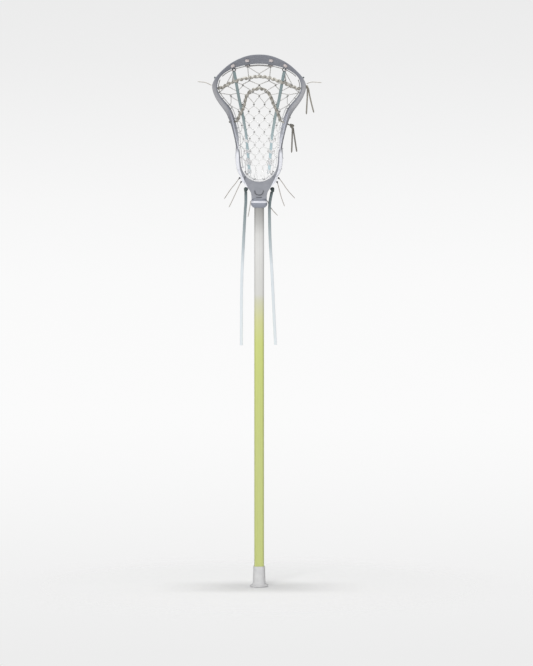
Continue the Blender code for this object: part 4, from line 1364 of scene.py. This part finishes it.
# Where the net is tied to the top string: at the grey knots and at the rings.
KNOT_X, RING_X = 23.4, 51.0


def column(j, z):
    """Where one column of the net's links is at a height."""
    first = stepped(COLUMN_STEPS, z)
    if abs(j) < 3:
        return first * j
    edge = half_width(min(max(z, 846.0), 1036.0))
    return math.copysign(mix(2 * first, edge, (abs(j) - 2) / 3), j)


def net_point(x, z, forward=0.0):
    """A point on the pocket's surface, or so far in front of it."""
    return Vector((x, pocket_depth(x, z) - forward, z))


def strand(s):
    """One cord of the net: it zigzags between column s and the next one."""
    touched = []
    for r, z in enumerate(ROWS):
        j = s if (s + r) % 2 == 0 else s + 1
        if r == 0 and j != 0:
            continue
        edge = abs(j) > 4
        x = math.copysign(half_width(z), j) if edge else column(j, z)
        if edge and not 862.0 < z < 1036.0:
            continue
        if not edge and not bottom_edge(x) + 7.0 < z < top_edge(x) - 5.0:
            continue
        touched.append((j, x, z, edge))
    tie_x = math.copysign(KNOT_X if abs(s + 0.5) < 2 else RING_X, s + 0.5)
    tie_z = top_edge(tie_x)
    path = [net_point(tie_x + 0.4, tie_z + 1.2), net_point(tie_x, tie_z - 1.4, -1.0)]
    for j, x, z, edge in touched:
        if edge:
            # Once round the edge string.
            inward = math.copysign(1.0, -j)
            turn = ((2.6, 2.2, 0.0), (-1.2, 0.6, 1.4), (-1.4, -0.6, -1.2), (2.6, -2.2, 0.0))
            path += [net_point(x + inward * across, z + up, forward) for across, up, forward in turn]
            continue
        # Once round the cord that comes from the other side of the column.
        long = mix(3.0, 8.2, ease((1030.0 - z) / 60.0))
        start = math.pi if s < j else 0.0
        around_by = NET_CORD * 0.92
        for t in (k / 8 for k in range(9)):
            turn = start + TAU * t
            at_z = z + long / 2 - long * t
            at_x = column(j, at_z) + around_by * math.cos(turn)
            path.append(net_point(at_x, at_z, around_by * math.sin(turn)))
    j, x, z, edge = touched[-1]
    other = 2 * s + 1 - j
    tie_x = mix(column(j, z), column(other, z), 0.5) if abs(other) < 5 else x * 0.97
    tie_z = bottom_edge(tie_x)
    return path + [net_point(tie_x, tie_z + 1.6, 0.8), net_point(tie_x, tie_z - 0.9, -0.6)]


def link_shade_wraps():
    """A turn of thread round each of the net's links. High up it is dark grey: painted shade where the
    net's cords cross.
    """
    skin = Skin()
    for j in range(-4, 5):
        for r, z in enumerate(ROWS):
            if (j + r) % 2 or z > 1040.0 or z < 872.0 or not bottom_edge(column(j, z)) + 7.0 < z:
                continue
            line = []
            for t in (k / 14 for k in range(15)):
                turn, at_z = TAU * 1.25 * t, z - 0.9 + 1.8 * t
                at_x = column(j, at_z) + 1.5 * math.cos(turn)
                line.append(net_point(at_x, at_z, 1.7 * math.sin(turn)))
            skin.tube(line, 0.62, 6)
    put(skin.build("net_link_threads", LINK_SHADE, 180), BODY, "thin_string")


def net():
    """The net itself and the threads round its links."""
    link_shade_wraps()
    skin = Skin()
    for s in range(-5, 5):
        line = spaced(smooth(strand(s), 4), 1.15)
        skin.tube(line, NET_CORD, 7)
    obj = skin.build("pocket_mesh_look", NET, 180)
    return put(obj, BODY, "mesh_cord", "pocket_mesh")


# ---- edge strings ----------------------------------------------------------------------
def along_edge(low, high, side):
    """Points on the line of the edge strings between two heights, on one side."""
    return [(side * x, back - 4.0, z) for x, z, back in STRING_LINE[::3] if low <= z <= high]


def wrap(z, side):
    """A turn of string from the edge string, through a hole and round the string rail."""
    here, out, at = rail_point(z, side)
    f = here.flare
    string = min(0.0, f) - EDGE_INSET
    outside = BACK_RAIL + f
    # distance out of the opening, and behind the rail's back
    rows = [
        (string - 0.9, -4.9), (string + 0.4, -5.2), (min(f, 0.0) - 0.2, -3.4), (f + 2.6, -2.7),
        (outside + 0.7, -2.6), (outside + 0.9, -0.6), (outside - 0.4, 0.8), (f + 2.6, 0.9),
        (f - 0.3, 0.5), (string + 0.6, -2.0), (string - 0.9, -3.4), (string - 1.0, -4.4),
    ]
    return [
        at + out * n + Vector((0.0, here.back + y, 0.4 * k / len(rows)))
        for k, (n, y) in enumerate(rows)
    ]


def edge_strings():
    """The strings round the pocket's edge, with their turns through the head's holes."""
    top = along_edge(1043.0, 2000.0, 1)
    throat_line = along_edge(0.0, 851.5, 1)
    rows = {
        "top_string": top + [(-x, y, z) for x, y, z in top[-2::-1]],
        "throat_string": [(-x, y, z) for x, y, z in throat_line[:0:-1]] + throat_line,
        "sidewall_string_left": along_edge(856.0, 1038.0, -1),
        "sidewall_string_right": along_edge(856.0, 1038.0, 1),
    }
    for name, line in rows.items():
        skin = Skin()
        skin.tube(spaced(line, 1.4), STRING_RADIUS, 8)
        if name.startswith("sidewall"):
            side = 1 if name.endswith("right") else -1
            for z in STRING_HOLES[:-1]:
                skin.tube(spaced(smooth(wrap(z, side), 4), 0.8), 0.7, 7)
        if name == "throat_string":
            for x, z in THROAT_HOLES:
                edge = bottom_edge(x)
                loop = [
                    (x, 15.0, edge + 0.9), (x, 17.4, edge - 0.6), (x, 17.4, z - 1.0),
                    (x, 17.4, z - 7.0), (x + 0.3, 19.2, z - 9.2), (x + 0.4, 21.4, z - 7.0),
                    (x + 0.4, 21.5, z), (x + 0.3, 19.6, edge), (x, 15.4, edge + 1.6),
                ]
                skin.tube(spaced(smooth(loop, 5), 0.8), 0.7, 7)
        if name == "top_string":
            second = [(x * 0.99, y - 1.9, z - 1.5) for x, y, z in line if abs(x) < 26]
            skin.tube(spaced(second, 1.4), 0.7, 7)
        obj = skin.build(name + "_look", THIN_EDGE, 180)
        put(obj, BODY, "thin_string", name)


def scoop_ties():
    """Cords that hold the net and the runners to the scoop through its slots."""
    skin = Skin()
    for side in (1, -1):
        for slot_x, slot_z, turn in SCOOP_SLOTS:
            lean = math.radians(turn)
            along = Vector((math.cos(lean), 0.0, -math.sin(lean)))
            up = Vector((math.sin(lean), 0.0, math.cos(lean)))
            middle = Vector((slot_x, 0.0, slot_z))
            hung = Vector((slot_x, 3.4, top_edge(slot_x) - 0.8))
            for shift in (-1.1, 0.0, 1.1):
                # along the slot, up, depth
                half = [
                    (3.0, -4.6, 9.5), (3.0, shift, 7.0), (3.0, shift, -12.0), (3.2, 1.5 * shift, -15.4),
                ]
                way = [(-a, b, y) for a, b, y in half] + [(0.0, 1.6 * shift, -16.8)] + half[::-1]
                rows = [middle + along * a + up * b + Vector((0.0, y, 0.0)) for a, b, y in way]
                ends = [hung + along * a + up * shift for a in (-2.0, 2.0)]
                line = [(side * x, y, z) for x, y, z in smooth([ends[0], *rows, ends[1]], 5)]
                skin.tube(spaced(line, 0.8), 1.0, 8)
    return skin


# ---- runners, laces and what ties them -------------------------------------------------
RUNNER_ROUTE = [
    (51.4, 1055.0), (49.1, 1044.0), (45.9, 1026.0), (42.5, 1007.0), (39.0, 989.0),
    (34.6, 970.0), (30.2, 946.0), (27.0, 927.0), (25.0, 908.0), (22.9, 884.0),
    (20.8, 858.0), (19.4, 846.0),
]
# Where white cord is laced over the runners: heights and how many turns.
LACED = [(908.0, 914.6, 3), (886.4, 893.6, 3), (862.0, 876.6, 6), (846.4, 853.4, 3)]
STRAIGHT_SHOOTER = [
    (-82.0, 1019.0), (-67.0, 1025.6), (-53.0, 1033.0), (-37.0, 1038.4), (-19.0, 1041.6),
    (0.0, 1043.4), (19.0, 1041.0), (35.0, 1036.4), (53.0, 1030.0), (67.0, 1023.0),
    (82.0, 1018.4),
]
U_SHOOTER = [
    (-45.6, 952.0), (-39.0, 966.5), (-31.2, 982.5), (-26.0, 1003.0), (-16.6, 1013.4),
    (0.0, 1019.6), (14.0, 1014.6), (22.2, 1005.2), (28.4, 988.8), (36.5, 972.4),
    (43.0, 953.0),
]


def runner_line(side):
    """A runner's route, as x, y, z and the turn of its flat."""
    rows = []
    for x, z in RUNNER_ROUTE:
        y = front_of_pocket(x, z, GAP + STRAP_THICK / 2 + 0.25)
        slope = pocket_depth(x + 1, z) - pocket_depth(x - 1, z)
        rows.append((side * x, y, z, side * math.degrees(math.atan2(slope, 2.0))))
    return rows


def runners():
    """The two straps in the pocket and the white cord laced over them."""
    for word, side in (("left", -1), ("right", 1)):
        route = runner_line(side)
        loops = strap_loops(route, STRAP_WIDTH, STRAP_THICK, 0.1)[1]
        obj = lofted(loops).build(f"runner_{word}_look", RUNNER, 60)
        put(obj, BODY, "strap_nylon", f"runner_{word}")

        fine = spaced(smooth(route, 12), 0.6)
        lace = Skin()
        for low, high, turns in LACED:
            part = [row for row in fine if low <= row[2] <= high]
            line = []
            for i, (x, y, z, turn) in enumerate(part):
                angle = TAU * turns * i / (len(part) - 1) + math.pi / 2
                lean = math.radians(turn)
                across = Vector((math.cos(lean), math.sin(lean), 0.0))
                front = Vector((math.sin(lean), -math.cos(lean), 0.0))
                flat, deep = squared(math.cos(angle), 0.6), squared(math.sin(angle), 0.6)
                line.append(Vector((x, y, z)) + across * 3.9 * flat + front * 1.9 * deep)
            lace.tube(spaced(smooth(line, 3), 0.8), 1.05, 8)
        obj = lace.build(f"runner_lacing_{word}", LACING, 180)
        put(obj, BODY, "mesh_cord")


def woven_depth(x, z, lift):
    """Over and under the net's columns in turn, but always in front of the runners."""
    over = 2.6 * math.cos(math.pi * x / stepped(COLUMN_STEPS, z))
    strap = min(RUNNER_ROUTE, key=lambda p: abs(p[1] - z))[0]
    share = math.exp(-(((abs(x) - strap) / 7.0) ** 2))
    return mix(pocket_depth(x, z) - over, front_of_pocket(x, z, lift), share)


def lace_exit(start, knot_at):
    """A lace's way from its end in the pocket through a sidewall window to its knot."""
    z = mix(start[2], knot_at[2], 0.4)
    here = station_at(z)
    x = math.copysign(here.x + 0.35 * here.flare + 1.5, start[0])
    return spaced(smooth([start, (x, here.back - 11.2, z), tuple(knot_at)], 8), 0.9)


def shooters():
    """The two shooting laces. Each is a pair of cords twisted together."""
    lift = GAP + STRAP_THICK + 0.9 + LACE_RADIUS
    for name, route in (("straight_shooter", STRAIGHT_SHOOTER), ("u_shooter", U_SHOOTER)):
        step = 1.2
        flat = spaced(smooth([(x, 0.0, z) for x, z in route], 10), step)
        points = []
        for i, (x, _, z) in enumerate(flat):
            sway = 0.9 * math.sin(TAU * i * step / LACE_BEAT)
            points.append((x, woven_depth(x, z, lift), z + sway))
        line = spaced(smooth(points, 3), 0.9)
        skin = Skin()
        skin.tube(line, 3.5, 20, 2, TAU / (2 * LACE_BEAT), 0.36)
        for word, start in (("left", line[0]), ("right", line[-1])):
            skin.tube(lace_exit(start, node_middle(f"{name}_knot_{word}")[0]), 1.5, 12)
        obj = skin.build(name + "_look", SHOOTER, 180)
        put(obj, BODY, "khaki_lace", name)


def small_parts():
    """Ties, rings and stitches that hold the stringing to the head."""
    put(scoop_ties().build("scoop_ties", TIE, 180), BODY, "thin_string")

    rings, beads, lumps, stitches = Skin(), Skin(), Skin(), Skin()
    for side in (1, -1):
        x, z = side * RING_X, 1058.0
        y = front_of_pocket(RING_X, z, 2.0)
        ring = [*turns(28), TAU]
        rings.tube([(x + 3.3 * math.cos(t), y, z + 2.9 * math.sin(t)) for t in ring], 0.9, 10)
        beads.tube([(x - 0.2, y + 1.4, z), (x, y + 0.2, z), (x, y - 1.4, z)], 2.4, 16)
        x, z = side * KNOT_X, top_edge(KNOT_X) + 0.4
        y = pocket_depth(KNOT_X, 1060.0) - 1.4
        lumps.tube(spaced(knot_line((x, y, z), (9.0, 4.0, 5.0), 6 * side), 0.6), 1.5, 9)
        # Dark grey stitches on the pad's front edge: partly real stitching, partly painted shade where
        # the pad meets the rail.
        for x0, z0, x1, z1 in ((31.4, 851.0, 27.6, 843.6), (14.6, 835.2, 11.0, 834.0)):
            rows = [
                (side * (x0 - 4.6), -9.0, z0 + 1.6), (side * (x0 - 4.4), -15.6, z0 + 1.4),
                (side * (x0 - 2.6), -17.4, z0 + 0.9), (side * (x1 - 2.2), -17.4, z1 + 1.6),
                (side * (x1 - 3.6), -15.6, z1 + 3.4), (side * (x1 - 3.8), -9.0, z1 + 3.6),
            ]
            stitches.tube(spaced(smooth(rows, 5), 0.8), 0.5, 7)
    for name, skin, paint in (
        ("scoop_rings", rings, DARK_STRING), ("scoop_beads", beads, BEAD),
        ("scoop_knots", lumps, GREY_KNOT), ("pad_stitches", stitches, STITCH),
    ):
        put(skin.build(name, paint, 180), BODY, "thin_string")


# ---- stage and light -------------------------------------------------------------------
def stage():
    """The floor that the stick's shadow falls on."""
    mesh = bpy.data.meshes.new("floor")
    work = bmesh.new()
    bmesh.ops.create_grid(work, x_segments=1, y_segments=1, size=3.0)
    work.to_mesh(mesh)
    work.free()
    floor = linked("floor", mesh)
    floor.location.z = -0.0005
    mesh.materials.append(floor_paint())


def light(name, place, aim, size, power):
    """A square lamp, with its size in metres and its power in watts."""
    made = linked(name, bpy.data.lights.new(name, "AREA"))
    made.data.shape = "SQUARE"
    made.data.size = size
    made.data.energy = power
    made.location = place
    made.visible_camera = False
    made.rotation_euler = (Vector(aim) - Vector(place)).to_track_quat("-Z", "Y").to_euler()


def world():
    """A pale studio: brightest low down in front and behind, dimmer at the sides and above."""
    made = bpy.data.worlds.new("studio")
    bpy.context.scene.world = made
    made.use_nodes = True
    sky = Nodes(made.node_tree)
    parts = sky.split(sky.node("TexCoord").outputs["Generated"])
    height = sky.span(parts["Z"], -0.40, 0.20)
    stops = [
        (0.0, 0.80), (0.17, 0.84), (0.460, 0.846), (0.483, 0.888), (0.503, 0.940), (0.517, 0.965),
        (0.552, 0.956), (0.571, 0.930), (0.590, 0.888), (0.605, 0.856), (0.620, 0.838),
        (0.70, 0.80), (0.85, 0.70), (1.0, 0.50),
    ]
    aside = sky.span(sky.math("ABSOLUTE", parts["X"]), 0.25, 0.80, 1.0, 0.55, smooth=True)
    near = sky.span(parts["Y"], -0.6, 0.6, 0.74, 1.0, smooth=True)
    background = sky.tree.nodes["Background"].inputs
    sky.set(background["Color"], sky.ramp(height, [(at, grey(value)) for at, value in stops]))
    sky.set(background["Strength"], sky.times(aside, near))


def studio():
    """The floor, the surroundings and two lamps, shown without a tone curve."""
    stage()
    world()
    light("overhead", (0.0, 0.02, 2.9), (0.0, 0.0, 0.0), 0.30, 35.0)
    light("key", (-1.4, -6.2, 2.3), (0.0, 0.0, 0.7), 2.4, 222.0)
    view = bpy.context.scene.view_settings
    view.view_transform = "Standard"
    view.look = "None"


# ---- everything ------------------------------------------------------------------------
camera()
free_cords()
put(head(), BODY, "head_nylon", "head_frame")
shaft()
butt_cap()
head_screw()
pad()
net()
edge_strings()
runners()
shooters()
knots()
small_parts()
studio()
